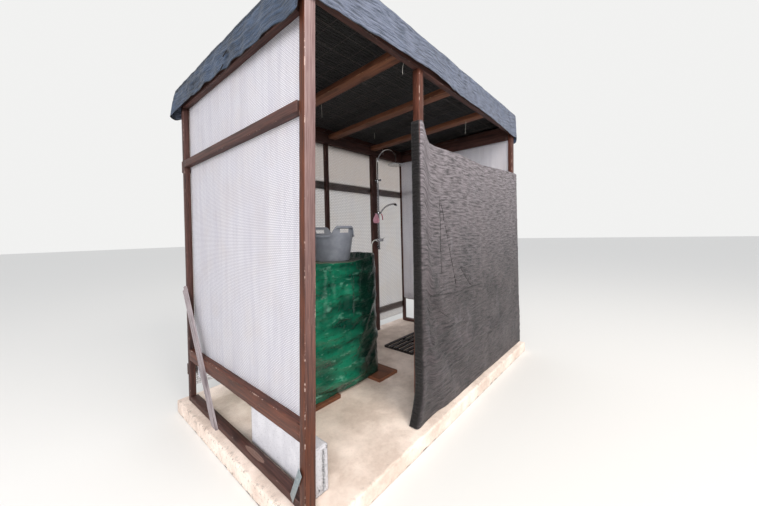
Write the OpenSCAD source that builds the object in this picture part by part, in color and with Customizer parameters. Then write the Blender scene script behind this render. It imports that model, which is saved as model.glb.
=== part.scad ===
// Timber-framed garden wash hut on a concrete slab, with sheeted walls and a fabric roof cover.
// Millimetres. X runs along the front to the right, Y from the front to the back, Z up.
// The origin is under the middle of the slab.

/* [Plan] */
// Length of the timber frame along the front
hut_l = 3000; // [2800:20:3400]
// Depth of the timber frame from front to back
hut_d = 1720; // [1650:10:2000]
// Clear width of the doorway
door_w = 920; // [700:10:1000]
// Slab beyond the frame at each end
slab_side = 64; // [40:2:200]
// Slab beyond the frame at the front and at the back
slab_front = 62; // [58:2:120]
// Thickness of the slab
slab_h = 100; // [60:5:200]

/* [Heights above the slab] */
// Underside of the front beam
beam_z = 2506; // [2450:5:2560]
// Underside of the back plate
plate_z = 2434; // [2400:2:2450]
// Underside of the top boards of the end walls
top_rail_z = 2415; // [2300:5:2420]
// Underside of the middle rails of the end walls
mid_rail_z = 1932; // [1700:5:2000]
// Underside of the low rails of the end walls
low_rail_z = 340; // [320:5:450]
// Underside of the middle rail of the back wall
back_mid_z = 1892; // [1700:5:2000]
// Underside of the low rail of the back wall
back_low_z = 210; // [150:5:400]
// Top of the front screen
screen_z = 2034; // [1800:10:2200]
// Gap between the slab and the foot of the back sheeting
sheet_foot = 110; // [60:5:145]

/* [Timber] */
// Width of a post along the front
post_w = 63; // [50:1:75]
// Thickness of posts, rails and the front beam
post_t = 45; // [35:1:50]
// Width of the door post
door_post_w = 52; // [45:1:70]
// Thickness of the door post
door_post_t = 57; // [50:1:63]
// Height of the front beam
beam_h = 222; // [150:2:240]
// Height of the back plate
plate_h = 170; // [150:5:180]
// Height of the top boards of the end walls
top_rail_h = 190; // [150:2:200]
// Height of the middle rails of the end walls
mid_rail_h = 56; // [45:1:100]
// Height of the low rails
low_rail_h = 90; // [60:5:120]
// Height of the middle rail of the back wall
back_mid_h = 95; // [60:5:120]
// Thickness of the rails outside the back sheeting
back_rail_t = 20; // [15:1:30]
// Width of a sill board
sill_w = 58; // [50:1:100]
// Thickness of a sill board
sill_h = 40; // [25:1:50]

/* [Front posts] */
// How far the feet of the front posts stand behind the face of the front beam
foot_back = 30; // [0:1:40]
// How far the head of the left post stands before the face of the beam
left_head_out = 14; // [0:1:15]
// How far the foot of the left post stands outside the corner of the frame
left_foot_out = 20; // [0:1:30]
// How far the head of the left post stands inside the corner of the frame
left_head_in = 21; // [0:1:30]
// How far the heads of the other front posts stand before the face of the beam
head_out = 4; // [0:1:10]
// How far left of its head the foot of the door post stands
door_post_lean = 33; // [0:1:40]
// How far left of its head the foot of the right post stands
right_post_lean = 18; // [0:1:30]
// How far the head of the right post stands inside the end of the frame
right_head_in = 7; // [0:1:15]

/* [Roof] */
// Width of a rafter board
rafter_w = 100; // [60:5:110]
// Thickness of a rafter board
rafter_t = 45; // [30:1:50]
// Middle of the first rafter from the left end
rafter_first = 850; // [600:10:900]
// Middle of the last rafter from the right end
rafter_last_in = 700; // [600:10:760]
// Rise of the rafters' underside above the underside of the beam
rafter_up = 46; // [30:1:60]
// Rise of the rafters' underside above the underside of the back plate
rafter_up_back = 66; // [50:1:80]
// Distance between the wires of the roof mesh
mesh_pitch = 150; // [100:10:200]
// Thickness of a wire of the roof mesh
mesh_wire = 4; // [3:0.5:5]
// Thickness of the fabric roof cover
cover_t = 6; // [4:1:10]
// Space between the frame and the hanging edge of the cover
cover_gap = 16; // [10:1:24]
// Height of the cover's front hem above the underside of the beam
hem_front_up = -16; // [-40:2:20]
// Height of the cover's other hems below the underside of the back plate
hem_side_down = 34; // [0:1:60]

/* [Walls] */
// Thickness of the woven sheeting
sheet_t = 3; // [2:0.5:5]
// Thickness of the front screen
screen_t = 4; // [3:0.5:6]
// Width of the screen's fold round the door post
screen_fold = 74; // [60:1:90]
// Length of the screen past the right end of the frame
screen_past = 54; // [0:1:60]

/* [Foam block inside the left wall] */
// Length of the foam block
foam_l = 680; // [500:10:900]
// Height of the foam block
foam_h = 250; // [200:5:330]
// Thickness of the foam block
foam_t = 92; // [60:1:110]
// Space between the left sill and the foam block
foam_gap = 25; // [2:1:40]
// Space between the front of the frame and the foam block
foam_front = 90; // [80:1:160]
// Radius of the foam block's upright edges
foam_r = 12; // [5:1:30]

/* [Back studs] */
// Left side of the middle stud
stud_x = 1470; // [1450:5:1600]
// Left side of the board that carries the shower, from the right end of the hut
shower_post_in = 728; // [600:1:800]
// Width of the board that carries the shower
shower_post_w = 100; // [70:5:120]

/* [Water tank] */
// Length of the tank
tank_l = 1030; // [900:10:1080]
// Depth of the tank
tank_d = 858; // [700:5:880]
// Height of the tank
tank_h = 1060; // [900:10:1100]
// Space between the left wall and the tank
tank_in = 297; // [250:1:320]
// Radius of the tank's upright edges
tank_r = 110; // [60:5:160]
// Thickness of the tarpaulin
tarp_t = 5; // [3:1:8]
// Space between the tank and the tarpaulin
tarp_gap = 9; // [5:1:12]
// Height of the tarpaulin's rim above the tank
tarp_rim = 40; // [30:2:90]
// Gap between the slab and the tarpaulin's hem
tarp_foot = 46; // [35:1:80]
// Middle of the outlet behind the front of the tank
outlet_in = 640; // [500:5:680]
// Height of the outlet above the tank's underside
outlet_up = 96; // [85:1:140]
// Left side of the first board from the left side of the tank
board_1_in = 215; // [0:5:400]
// Left side of the second board from the left side of the tank
board_2_in = 863; // [700:5:880]
// Length of the first board before the tank
board_1_out = 50; // [0:5:150]
// Length of the second board before the tank
board_2_out = 132; // [0:4:200]
// Width of a board under the tank
board_w = 260; // [150:5:280]
// Thickness of a board under the tank
board_t = 30; // [20:1:32]

/* [Tub] */
// Middle of the tub from the left side of the tank
tub_in = 775; // [300:5:800]
// Middle of the tub from the front of the tank
tub_back = 380; // [240:5:600]
// Height of the tub without its handles
tub_h = 245; // [200:5:300]
// Radius of the tub's foot
tub_foot_r = 172; // [140:2:180]
// Radius of the tub's rim
tub_rim_r = 212; // [190:2:230]
// Thickness of the tub's wall
tub_t = 4; // [3:0.5:6]
// Height of a handle above the rim
handle_h = 85; // [45:1:100]

/* [Shower] */
// Height of the mixer above the slab
mixer_z = 1260; // [1000:10:1400]
// Height of the lower end of the riser pipe above the slab
riser_foot_z = 1130; // [900:10:1180]
// Height of the joint where the riser pipe narrows
riser_joint_z = 2090; // [1900:10:2150]
// Height where the curved arm starts
arm_z = 2325; // [2200:5:2325]
// Reach of the curved arm
arm_reach = 330; // [250:2:340]
// Radius of the lower riser pipe
riser_r = 12; // [10:0.5:14]
// Radius of the upper riser pipe and the arm
arm_r = 9; // [7:0.5:10]
// Radius of the rain head
head_r = 110; // [80:5:125]
// Space between the shower board and the riser pipe
riser_out = 16; // [12:1:30]

/* [Floor mat] */
// Distance from the left end of the slats to the riser pipe
mat_in = 460; // [440:5:600]
// Length of a slat
mat_l = 700; // [500:10:720]
// Number of slats
mat_slats = 6; // [4:1:7]
// Distance from one slat to the next
mat_pitch = 73; // [60:1:76]
// Width of a slat
mat_slat_w = 36; // [25:1:45]
// Thickness of a slat, and of the bearers under it
mat_t = 13; // [8:1:16]

/* [Loose pieces outside] */
// Foot of the leaning plank behind the front of the frame
plank_y = 1088; // [900:4:1100]
// Slope of the leaning plank, in degrees
plank_slope = 58.5; // [56:0.5:75]
// Length of the leaning plank
plank_l = 1120; // [900:10:1140]
// Width of the leaning plank
plank_w = 66; // [50:1:90]
// Thickness of the leaning plank
plank_t = 18; // [12:1:25]
// Foot of the perforated nail plate behind the front of the frame
nail_plate_y = 170; // [150:2:200]
// Slope of the perforated nail plate, in degrees
nail_plate_slope = 59; // [50:1:75]
// Length of the perforated nail plate
nail_plate_l = 240; // [160:5:260]
// Width of the nail plate
nail_plate_w = 40; // [30:1:50]

/* [Hidden] */

// Colours
stained = "#5a3a33";
raw_timber = "#7a4a30";
concrete = "#cfc3b2";
sheeting = "#dcdde0";
black_cloth = "#33363b";
tarp_green = "#14604a";
tub_grey = "#7d828c";
chrome_grey = "#b9bcc0";
dark_slats = "#2e2928";
grey_wood = "#8d8288";
zinc = "#9fb0b8";

// Clearance between pieces that only rest against each other
seat = 0.3;
// Round shapes
$fn = 48;

// Derived places
back_in = hut_d - post_w;                        // inner face of the back corner posts and plate
door_post_x = post_w + door_w;
sheet_back_y = hut_d - back_rail_t - sheet_t;    // inner face of the back sheeting
stud_y = sheet_back_y - post_t;                  // front face of the studs of the back wall
shower_post_x = hut_l - shower_post_in;
rafter_z = beam_z + rafter_up;
sheet_low = low_rail_z + 8;
sheet_high = min(top_rail_z + 15, plate_z - 4);  // end sheets stop under the back plate
rafter_back_z = plate_z + rafter_up_back;
rafter_fall = atan((rafter_z - rafter_back_z) / (back_in - post_t));
beam_top = beam_z + beam_h;
plate_top = plate_z + plate_h;
top_rail_top = top_rail_z + top_rail_h;
tank_x = post_t + sheet_t + tank_in;
tank_back = stud_y - 18;                         // the tank stands a little clear of the studs
tank_y = tank_back - tank_d;
tank_top = board_t + tank_h;
tub_x = tank_x + tub_in;
tub_y = tank_y + tub_back;
tub_z = tank_top + 2 * seat + tarp_t;
riser_x = shower_post_x + 88;
riser_y = stud_y - riser_out - riser_r;
arm_drop = 44;                                   // from the end of the half ring down to the rain head
holder_z = 1640;                                 // middle of the hand shower's holder
hook_z = holder_z - 10;                          // wire that the sponge hangs on
hook_r = 3;
mixer_knob = 58;                                 // from the middle of the mixer to its left knob's face
outlet_y = tank_y + outlet_in;
outlet_z = board_t + outlet_up;
outlet_l = 62;
outlet_r = 20;
hose_r = 7;
hose_bend = 100;                                 // width of the hose's bend beside the mixer

// The route of the feed hose, from the mixer to the tank's outlet
hose_start = [riser_x - mixer_knob, riser_y, mixer_z];
hose_end = [tank_x + tank_l + outlet_l, outlet_y, outlet_z];
hose_fall = [hose_start[0] - 1.2 * hose_bend, riser_y - 0.22 * hose_bend, 2.3 * hose_bend];
hose_floor = [hose_fall[0] - 1.62 * hose_bend, hose_fall[1] - 0.58 * hose_bend, hose_r + 2];
hose_lift = [hose_end[0] + 2.2 * hose_bend, outlet_y + 0.1 * hose_bend, hose_r + 2];
hose_rise = [hose_end[0] + 1.1 * hose_bend, outlet_y + 0.06 * hose_bend, 30];
function mix(a, b, t) = a + t * (b - a);
HOSE_PATH = concat(
    [for (step = [[0, 0, 0], [-0.22, 0, 0.01], [-0.45, 0, -0.03], [-0.66, 0, -0.14], [-0.84, 0, -0.33],
                  [-0.95, 0, -0.58], [-0.99, 0, -0.9], [-1, -0.01, -1.6]]) hose_start + hose_bend * step],
    [for (t = [0.16, 0.38, 0.64, 0.86]) mix(hose_start + hose_bend * [-1, -0.01, -1.6], hose_fall, t)],
    [for (step = [[0, 0, 0], [-0.18, -0.1, -1], [-0.5, -0.24, -1.68], [-0.98, -0.4, -2.04]])
        hose_fall + hose_bend * step],
    [for (t = [0.25, 0.5, 0.75, 1]) mix(hose_floor, hose_lift, t)],
    [hose_rise],
    [for (step = [[0.62, 0.02, -0.24], [0.28, 0, -0.04], [0, 0, 0]]) hose_end + hose_bend * step]);

// Puts a piece from the hut's own corner into the part's frame
module in_hut() {
    translate([-hut_l / 2, -hut_d / 2, slab_h]) children();
}

// A rectangular timber between two corners
module timber(from, to, tone = stained) {
    in_hut() color(tone) translate(from) cube(to - from);
}

// An outline in Y and Z, extruded along X from x to x + length
module along_x(x, length) {
    translate([x, 0, 0]) rotate([90, 0, 90]) linear_extrude(length) children();
}

// An outline in X and Z, extruded along Y from y to y + depth
module along_y(y, depth) {
    translate([0, y + depth, 0]) rotate([90, 0, 0]) linear_extrude(depth) children();
}

// A flat rectangle with round corners
module round_rect(length, depth, radius) {
    translate([radius, 0]) square([length - 2 * radius, depth]);
    translate([0, radius]) square([length, depth - 2 * radius]);
    for (x = [radius, length - radius], y = [radius, depth - radius])
        translate([x, y]) circle(radius);
}

module slab() {
    in_hut() color(concrete)
        translate([-slab_side, -slab_front, -slab_h])
            cube([hut_l + 2 * slab_side, hut_d + 2 * slab_front, slab_h]);
}

// Sill boards under the end walls
module sill_left() { timber([0, left_post_back(0), 0], [sill_w, back_in, sill_h]); }
module sill_right() {
    timber([hut_l - sill_w, right_post_back(0), 0], [hut_l, back_in, sill_h]);
}

// A front post with a level foot and head, which leans from foot to head; both are places in plan
module leaning_timber(foot, head, section) {
    corners = [[0, 0], [section[0], 0], section, [0, section[1]]];
    in_hut() color(stained)
        polyhedron(points = concat([for (c = corners) [foot[0] + c[0], foot[1] + c[1], 0]],
                                   [for (c = corners) [head[0] + c[0], head[1] + c[1], beam_z]]),
                   faces = [[0, 1, 2, 3], [7, 6, 5, 4], [0, 4, 5, 1],
                            [1, 5, 6, 2], [2, 6, 7, 3], [3, 7, 4, 0]]);
}

// Back face of the left or the right front post at a height
function left_post_back(z) = foot_back + post_t - (foot_back + left_head_out) * z / beam_z;
function right_post_back(z) = foot_back + post_t - (foot_back + head_out) * z / beam_z;

// Upright timbers
module post_front_left() {
    leaning_timber([-left_foot_out, foot_back], [left_head_in, -left_head_out], [post_w, post_t]);
}
module post_door() {
    leaning_timber([door_post_x - door_post_lean, foot_back], [door_post_x, -head_out],
                   [door_post_w, door_post_t]);
}
module post_front_right() {
    head_x = hut_l - post_w - right_head_in;
    leaning_timber([head_x - right_post_lean, foot_back], [head_x, -head_out], [post_w, post_t]);
}
module post_back_left() { timber([0, back_in, 0], [post_t, sheet_back_y, plate_z]); }
module post_back_right() { timber([hut_l - post_t, back_in, 0], [hut_l, sheet_back_y, plate_z]); }
module post_back_middle() { timber([stud_x, stud_y, 0], [stud_x + post_t, sheet_back_y, plate_z]); }
module shower_post() {
    timber([shower_post_x, stud_y, 0], [shower_post_x + shower_post_w, sheet_back_y, plate_z]);
}

// Timbers that carry the roof
module beam_front() { timber([0, 0, beam_z], [hut_l, post_t, beam_top]); }
module plate_back() { timber([0, back_in, plate_z], [hut_l, hut_d, plate_top]); }
module left_rail(front, z, h) { timber([0, front, z], [post_t, back_in, z + h]); }
module right_rail(front, z, h) { timber([hut_l - post_t, front, z], [hut_l, back_in, z + h]); }
module top_rail_left() { left_rail(post_t, top_rail_z, top_rail_h); }
module top_rail_right() { right_rail(post_t, top_rail_z, top_rail_h); }
module mid_rail_left() { left_rail(left_post_back(mid_rail_z), mid_rail_z, mid_rail_h); }
module mid_rail_right() { right_rail(right_post_back(mid_rail_z), mid_rail_z, mid_rail_h); }
module low_rail_left() { left_rail(left_post_back(low_rail_z), low_rail_z, low_rail_h); }
module low_rail_right() { right_rail(right_post_back(low_rail_z), low_rail_z, low_rail_h); }

// Rails outside the back sheeting
module back_rail(z, h) { timber([0, hut_d - back_rail_t, z], [hut_l, hut_d, z + h]); }
module mid_rail_back() { back_rail(back_mid_z, back_mid_h); }
module low_rail_back() { back_rail(back_low_z, low_rail_h); }

// A rafter board lies flat and falls a little towards the back
module rafter(number) {
    last = hut_l - rafter_last_in;
    middle = rafter_first + (number - 1) * (last - rafter_first) / 2;
    in_hut() color(raw_timber) along_x(middle - rafter_w / 2, rafter_w)
        polygon([[post_t, rafter_z], [back_in, rafter_back_z],
                 [back_in, rafter_back_z + rafter_t], [post_t, rafter_z + rafter_t]]);
}

// Welded wire mesh that lies on the rafters
module roof_mesh() {
    edge = 6;
    depth = (back_in - post_t) / cos(rafter_fall) - 2 * edge;
    length = hut_l - 2 * post_t - 2 * edge;
    rows = floor(depth / mesh_pitch);
    columns = floor(length / mesh_pitch);
    in_hut() color("#4a4644")
        translate([post_t + edge, post_t, rafter_z + rafter_t])
            rotate([-rafter_fall, 0, 0])
                translate([0, edge, 0]) linear_extrude(mesh_wire) {
                    for (i = [0:rows])
                        translate([0, (depth - mesh_wire) * i / rows]) square([length, mesh_wire]);
                    for (i = [0:columns])
                        translate([(length - mesh_wire) * i / columns, 0]) square([mesh_wire, depth]);
                }
}

// The cover's outline from front to back, grown by a margin all round
module cover_outline(margin, foot) {
    front = -cover_gap - margin;
    back = hut_d + cover_gap + margin;
    shoulder = 26;
    polygon([[front, foot], [front, beam_top - shoulder],
             [front + shoulder * 0.3, beam_top - shoulder * 0.35 + margin * 0.6],
             [front + shoulder, beam_top + seat + margin],
             [post_t, beam_top + seat + margin],
             [back_in, plate_top + seat + margin + 4],
             [back - shoulder, plate_top + seat + margin + 4],
             [back - shoulder * 0.3, plate_top - shoulder * 0.35 + margin * 0.6],
             [back, plate_top - shoulder], [back, foot]]);
}

// The fabric cover is a shallow lid, open below, that hangs over the frame on all four sides
module roof_cover() {
    hem = plate_z - hem_side_down;
    hem_front = beam_z + hem_front_up;
    skirt = cover_gap + cover_t;
    in_hut() color(black_cloth) difference() {
        along_x(-skirt, hut_l + 2 * skirt) cover_outline(cover_t, hem);
        along_x(-cover_gap, hut_l + 2 * cover_gap) cover_outline(0, hem - 1);
        translate([-skirt - 1, -skirt - 1, hem - 1])
            cube([hut_l + 2 * skirt + 2, skirt + 1, hem_front - hem + 1]);
    }
}

// Woven sheeting inside the rails of the end walls
module end_sheet(x, front_low, front_high) {
    in_hut() color(sheeting) along_x(x, sheet_t)
        polygon([[front_low + seat, sheet_low], [back_in - seat, sheet_low],
                 [back_in - seat, sheet_high], [front_high + seat, sheet_high]]);
}
module sheet_left() { end_sheet(post_t, left_post_back(sheet_low), left_post_back(sheet_high)); }
module sheet_right() {
    end_sheet(hut_l - post_t - sheet_t, right_post_back(sheet_low), right_post_back(sheet_high));
}

module sheet_back() {
    in_hut() color(sheeting) translate([2, sheet_back_y, sheet_foot])
        cube([hut_l - 4, sheet_t, plate_z - seat - sheet_foot]);
}

// The front screen hangs on the front posts and wraps round the door post
module front_screen() {
    foot = 6;                                    // clear of the slab
    left_foot = door_post_x - door_post_lean * (1 - foot / beam_z) - seat;
    left_top = door_post_x - door_post_lean * (1 - screen_z / beam_z) - seat;
    right = hut_l + screen_past;
    in_hut() color(black_cloth) {
        along_y(-seat - screen_t, screen_t)
            polygon([[left_foot - screen_t, foot], [right, foot], [right, screen_z],
                     [left_top - screen_t, screen_z]]);
        along_y(-seat - screen_t, screen_fold)
            polygon([[left_foot - screen_t, foot], [left_foot, foot], [left_top, screen_z],
                     [left_top - screen_t, screen_z]]);
    }
}

// Boards that the tank stands on; each sticks out in front of it by a different length
module tank_boards() {
    lefts = [board_1_in, board_2_in];
    ahead = [board_1_out, board_2_out];
    for (i = [0, 1])
        timber([tank_x + lefts[i], tank_y - ahead[i], 0],
               [tank_x + lefts[i] + board_w, tank_back - 12, board_t], raw_timber);
}

// The tank itself, with its outlet
module tank() {
    in_hut() color("#d9dcd6") {
        translate([tank_x, tank_y, board_t]) linear_extrude(tank_h)
            round_rect(tank_l, tank_d, tank_r);
        translate([tank_x + tank_l - tank_r, outlet_y, outlet_z]) rotate([0, 90, 0])
            cylinder(h = tank_r + outlet_l, r = outlet_r);
    }
}

// The tarpaulin is tied round the tank, with a rim above the tank and a sunken top
module tank_cover() {
    out = tarp_gap + tarp_t;
    slit = outlet_r + 6;
    in_hut() color(tarp_green) difference() {
        translate([tank_x - out, tank_y - out, tarp_foot])
            linear_extrude(tank_top + tarp_rim - tarp_foot)
                round_rect(tank_l + 2 * out, tank_d + 2 * out, tank_r + out);
        translate([tank_x - tarp_gap, tank_y - tarp_gap, tarp_foot - 1])
            linear_extrude(tank_top + seat - tarp_foot + 1)
                round_rect(tank_l + 2 * tarp_gap, tank_d + 2 * tarp_gap, tank_r + tarp_gap);
        translate([tank_x - tarp_gap, tank_y - tarp_gap, tank_top + seat + tarp_t])
            linear_extrude(tarp_rim + 1)
                round_rect(tank_l + 2 * tarp_gap, tank_d + 2 * tarp_gap, tank_r + tarp_gap);
        translate([tank_x + tank_l, outlet_y - slit, tarp_foot - 1])
            cube([out + 1, 2 * slit, outlet_z + slit - tarp_foot + 1]);
    }
}

// Half outline of the tub's wall between two heights, with a named thickness
module tub_wall(low, high, thickness) {
    slope = (tub_rim_r - tub_foot_r) / tub_h;
    polygon([[tub_foot_r + slope * low, low], [tub_foot_r + slope * high, high],
             [tub_foot_r + slope * high - thickness, high], [tub_foot_r + slope * low - thickness, low]]);
}

// A round tub with a turned rim and two handles that rise from it
module tub() {
    handle_arc = 60;
    slot_arc = 28;
    first_handle = -95;
    in_hut() color(tub_grey) translate([tub_x, tub_y, tub_z]) {
        rotate_extrude() {
            square([tub_foot_r - 1, tub_t]);
            tub_wall(0, tub_h, tub_t);
            translate([tub_rim_r - 5, tub_h - 10]) square([14, 10]);
        }
        for (side = [first_handle, first_handle + 180])
            rotate([0, 0, side - handle_arc / 2]) difference() {
                rotate_extrude(angle = handle_arc) tub_wall(tub_h - 1, tub_h + handle_h, tub_t + 3);
                rotate([0, 0, (handle_arc - slot_arc) / 2])
                    rotate_extrude(angle = slot_arc)
                        translate([tub_rim_r - 20, tub_h + handle_h * 0.3])
                            square([50, handle_h * 0.42]);
            }
    }
}

// Riser pipe with its lower and upper lengths, the joint between them and two wall brackets
module riser() {
    in_hut() color(chrome_grey) translate([riser_x, riser_y, 0]) {
        translate([0, 0, riser_foot_z]) cylinder(h = riser_joint_z - riser_foot_z, r = riser_r);
        translate([0, 0, riser_joint_z]) cylinder(h = arm_z - riser_joint_z, r = arm_r);
        translate([0, 0, riser_joint_z - 16]) cylinder(h = 32, r = riser_r + 7);
        for (z = [riser_foot_z + 40, riser_joint_z])
            translate([0, 0, z]) rotate([-90, 0, 0]) cylinder(h = riser_r + riser_out, r = 8);
    }
}

// The arm is a half ring that carries the rain head in front of the riser
module shower_arm() {
    reach_r = arm_reach / 2;
    in_hut() color(chrome_grey) translate([riser_x, riser_y, arm_z]) {
        translate([0, -reach_r, 0]) rotate([90, 0, 90])
            rotate_extrude(angle = 180) translate([reach_r, 0]) circle(arm_r);
        translate([0, -arm_reach, -arm_drop]) cylinder(h = arm_drop, r = arm_r);
    }
}

module rain_head() {
    in_hut() color(chrome_grey) translate([riser_x, riser_y - arm_reach, arm_z - arm_drop])
        rotate_extrude() polygon([[0, 0], [arm_r + 5, 0], [arm_r + 8, -14], [head_r, -22],
                                  [head_r + 1, -28], [head_r - 4, -31], [0, -31]]);
}

// Thermostatic mixer body across the riser, with a knob at each end
module mixer() {
    in_hut() color(chrome_grey) translate([riser_x, riser_y, mixer_z]) difference() {
        rotate([0, 90, 0]) {
            translate([0, 0, -50]) cylinder(h = 100, r = 23);
            translate([0, 0, -mixer_knob]) cylinder(h = 9, r = 15);
            translate([0, 0, 49]) cylinder(h = 26, r = 19);
        }
        translate([0, 0, -30]) cylinder(h = 60, r = riser_r + seat);
    }
}

// Hand shower in its holder on the riser: a ring, a curved handle and a round head
module hand_shower() {
    handle_r = 10;
    bend_r = 210;
    bend = 62;
    ring_h = 36;
    hook_l = 130;
    hook_left = 78;
    handle_turn = 30;
    ahead = 34 + bend_r * sin(bend);
    in_hut() color(chrome_grey) translate([riser_x, riser_y, holder_z]) {
        difference() {
            union() {
                translate([0, 0, -ring_h / 2]) cylinder(h = ring_h, r = riser_r + 9);
                rotate([0, 0, handle_turn]) translate([0, -10, 0]) rotate([90, 0, 0])
                    cylinder(h = 34, r = 14);
                translate([-hook_left, 0, hook_z - holder_z]) rotate([0, 90, 0])
                    cylinder(h = hook_l, r = hook_r);
            }
            translate([0, 0, -ring_h]) cylinder(h = 2 * ring_h, r = riser_r + seat);
        }
        rotate([0, 0, handle_turn]) {
            translate([0, -ahead, 2 - bend_r * cos(bend)]) rotate([90, 0, 90]) rotate([0, 0, 90 - bend])
                rotate_extrude(angle = bend) translate([bend_r, 0]) circle(handle_r);
            translate([0, -ahead - 26, bend_r * (1 - cos(bend)) + 2])
                rotate([24, 0, 0]) translate([0, 0, -24]) cylinder(h = 24, r1 = 32, r2 = 18);
        }
    }
}

// Smooth tube along a list of points, one ring at each point
function direction(path, i) =
    let (step = path[min(i + 1, len(path) - 1)] - path[max(i - 1, 0)]) step / norm(step);
function ring(path, i, r, sides) =
    let (d = direction(path, i),
         guide = abs(d[2]) > 0.9 ? [0, 1, 0] : [0, 0, 1],
         u = cross(d, guide) / norm(cross(d, guide)),
         v = cross(d, u))
    [for (k = [0:sides - 1]) path[i] + r * (cos(360 * k / sides) * u + sin(360 * k / sides) * v)];
function tube_points(path, r, sides) = [for (i = [0:len(path) - 1]) each ring(path, i, r, sides)];

// Points between the route's own points, on a smooth curve through them
function between(p, i, t) =
    let (a = p[max(i - 1, 0)], b = p[i], c = p[min(i + 1, len(p) - 1)], d = p[min(i + 2, len(p) - 1)])
    0.5 * (2 * b + t * (c - a) + t * t * (2 * a - 5 * b + 4 * c - d) + t * t * t * (3 * b - a - 3 * c + d));
function smooth_path(p, steps) =
    concat([for (i = [0:len(p) - 2], k = [0:steps - 1]) between(p, i, k / steps)], [p[len(p) - 1]]);

module feed_hose() {
    path = smooth_path(HOSE_PATH, 3);
    sides = 8;
    last = (len(path) - 1) * sides;
    in_hut() color("#e4e4e0")
        polyhedron(points = tube_points(path, hose_r, sides),
                   faces = concat(
                       [[for (k = [0:sides - 1]) k]],
                       [for (i = [0:len(path) - 2], k = [0:sides - 1])
                           [i * sides + k, (i + 1) * sides + k,
                            (i + 1) * sides + (k + 1) % sides, i * sides + (k + 1) % sides]],
                       [[for (k = [sides - 1:-1:0]) last + k]]));
}

// Bath sponge that hangs on the holder
module sponge() {
    height = 120;
    in_hut() color("#c98d9c") translate([riser_x - 70, riser_y - 20, hook_z - hook_r - seat - height])
        rotate_extrude() polygon([[0, height], [24, height], [22, height - 12], [30, 84], [44, 48],
                                  [46, 20], [34, -6], [0, -14]]);
}

// Slatted mat: slats along X on three bearers
module floor_mat() {
    depth = (mat_slats - 1) * mat_pitch + mat_slat_w;
    bearer_w = 30;
    in_hut() color(dark_slats) translate([riser_x - mat_in, tank_y - 2, 0]) {
        for (i = [0:2])
            translate([(mat_l - bearer_w) * i / 2, 0, 0]) cube([bearer_w, depth, mat_t]);
        for (i = [0:mat_slats - 1])
            translate([0, i * mat_pitch, mat_t - 0.01]) cube([mat_l, mat_slat_w, mat_t]);
    }
}

// Weathered plank that leans outside the left wall
module leaning_plank() {
    in_hut() color(grey_wood) along_x(-plank_t - seat, plank_t) translate([plank_y, 0])
        intersection() {
            rotate(plank_slope) translate([0, -plank_w]) square([plank_l, plank_w]);
            translate([-plank_w * 2, 0]) square([plank_l + plank_w * 2, plank_l]);
        }
}

// Perforated nail plate that ties the left sill to the front post
module nail_plate() {
    thickness = 2;
    hole_pitch = 40;
    hole_r = 2.5;
    foot = [nail_plate_y, 26];
    turn = atan(left_foot_out / (foot[0] - left_post_back(0)));
    in_hut() color(zinc) translate([-seat, foot[0], foot[1]]) rotate([0, 0, -turn])
        along_x(-thickness, thickness) rotate(180 - nail_plate_slope) difference() {
            translate([0, -nail_plate_w / 2]) square([nail_plate_l, nail_plate_w]);
            for (x = [hole_pitch / 2:hole_pitch:nail_plate_l - 10], y = [-0.25, 0.25] * nail_plate_w)
                translate([x, y]) circle(r = hole_r, $fn = 16);
        }
}

// White foam block that stands on its long edge inside the left sill, with a groove in its front end
module foam_block() {
    groove = 8;
    in_hut() color("#e6e4df") translate([sill_w + foam_gap, foam_front, 0]) difference() {
        linear_extrude(foam_h) round_rect(foam_t, foam_l, foam_r);
        translate([foam_t * 0.6, -1, foam_h * 0.08]) cube([groove, 1 + groove / 2, foam_h * 0.8]);
    }
}

slab();
sill_left();
sill_right();
post_front_left();
post_door();
post_front_right();
post_back_left();
post_back_middle();
post_back_right();
shower_post();
beam_front();
plate_back();
top_rail_left();
top_rail_right();
mid_rail_left();
mid_rail_right();
low_rail_left();
low_rail_right();
mid_rail_back();
low_rail_back();
rafter(1);  // rafter_1
rafter(2);  // rafter_2
rafter(3);  // rafter_3
roof_mesh();
roof_cover();
sheet_left();
sheet_right();
sheet_back();
front_screen();
tank_boards();
tank();
tank_cover();
tub();
riser();
shower_arm();
rain_head();
mixer();
hand_shower();
feed_hose();
sponge();
floor_mat();
leaning_plank();
nail_plate();
foam_block();
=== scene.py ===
"""Finish of a timber-framed garden wash hut on a concrete slab.

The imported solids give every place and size. This script dresses them: worn timber, sheets of cloth
that are simulated in place, a welded wire mesh, a shower set, and the stage, lamps and camera.
Lengths are in metres in the part's own frame, and places on the hut are given in millimetres from
the frame's front left corner on top of the slab.
"""

import logging
import math
import random
from contextlib import contextmanager
from dataclasses import dataclass, field
from enum import Enum
from functools import partial
from itertools import product
from typing import Callable, Iterable, Iterator, Sequence

import bmesh
import bpy
from mathutils import Matrix, Vector, noise


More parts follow.
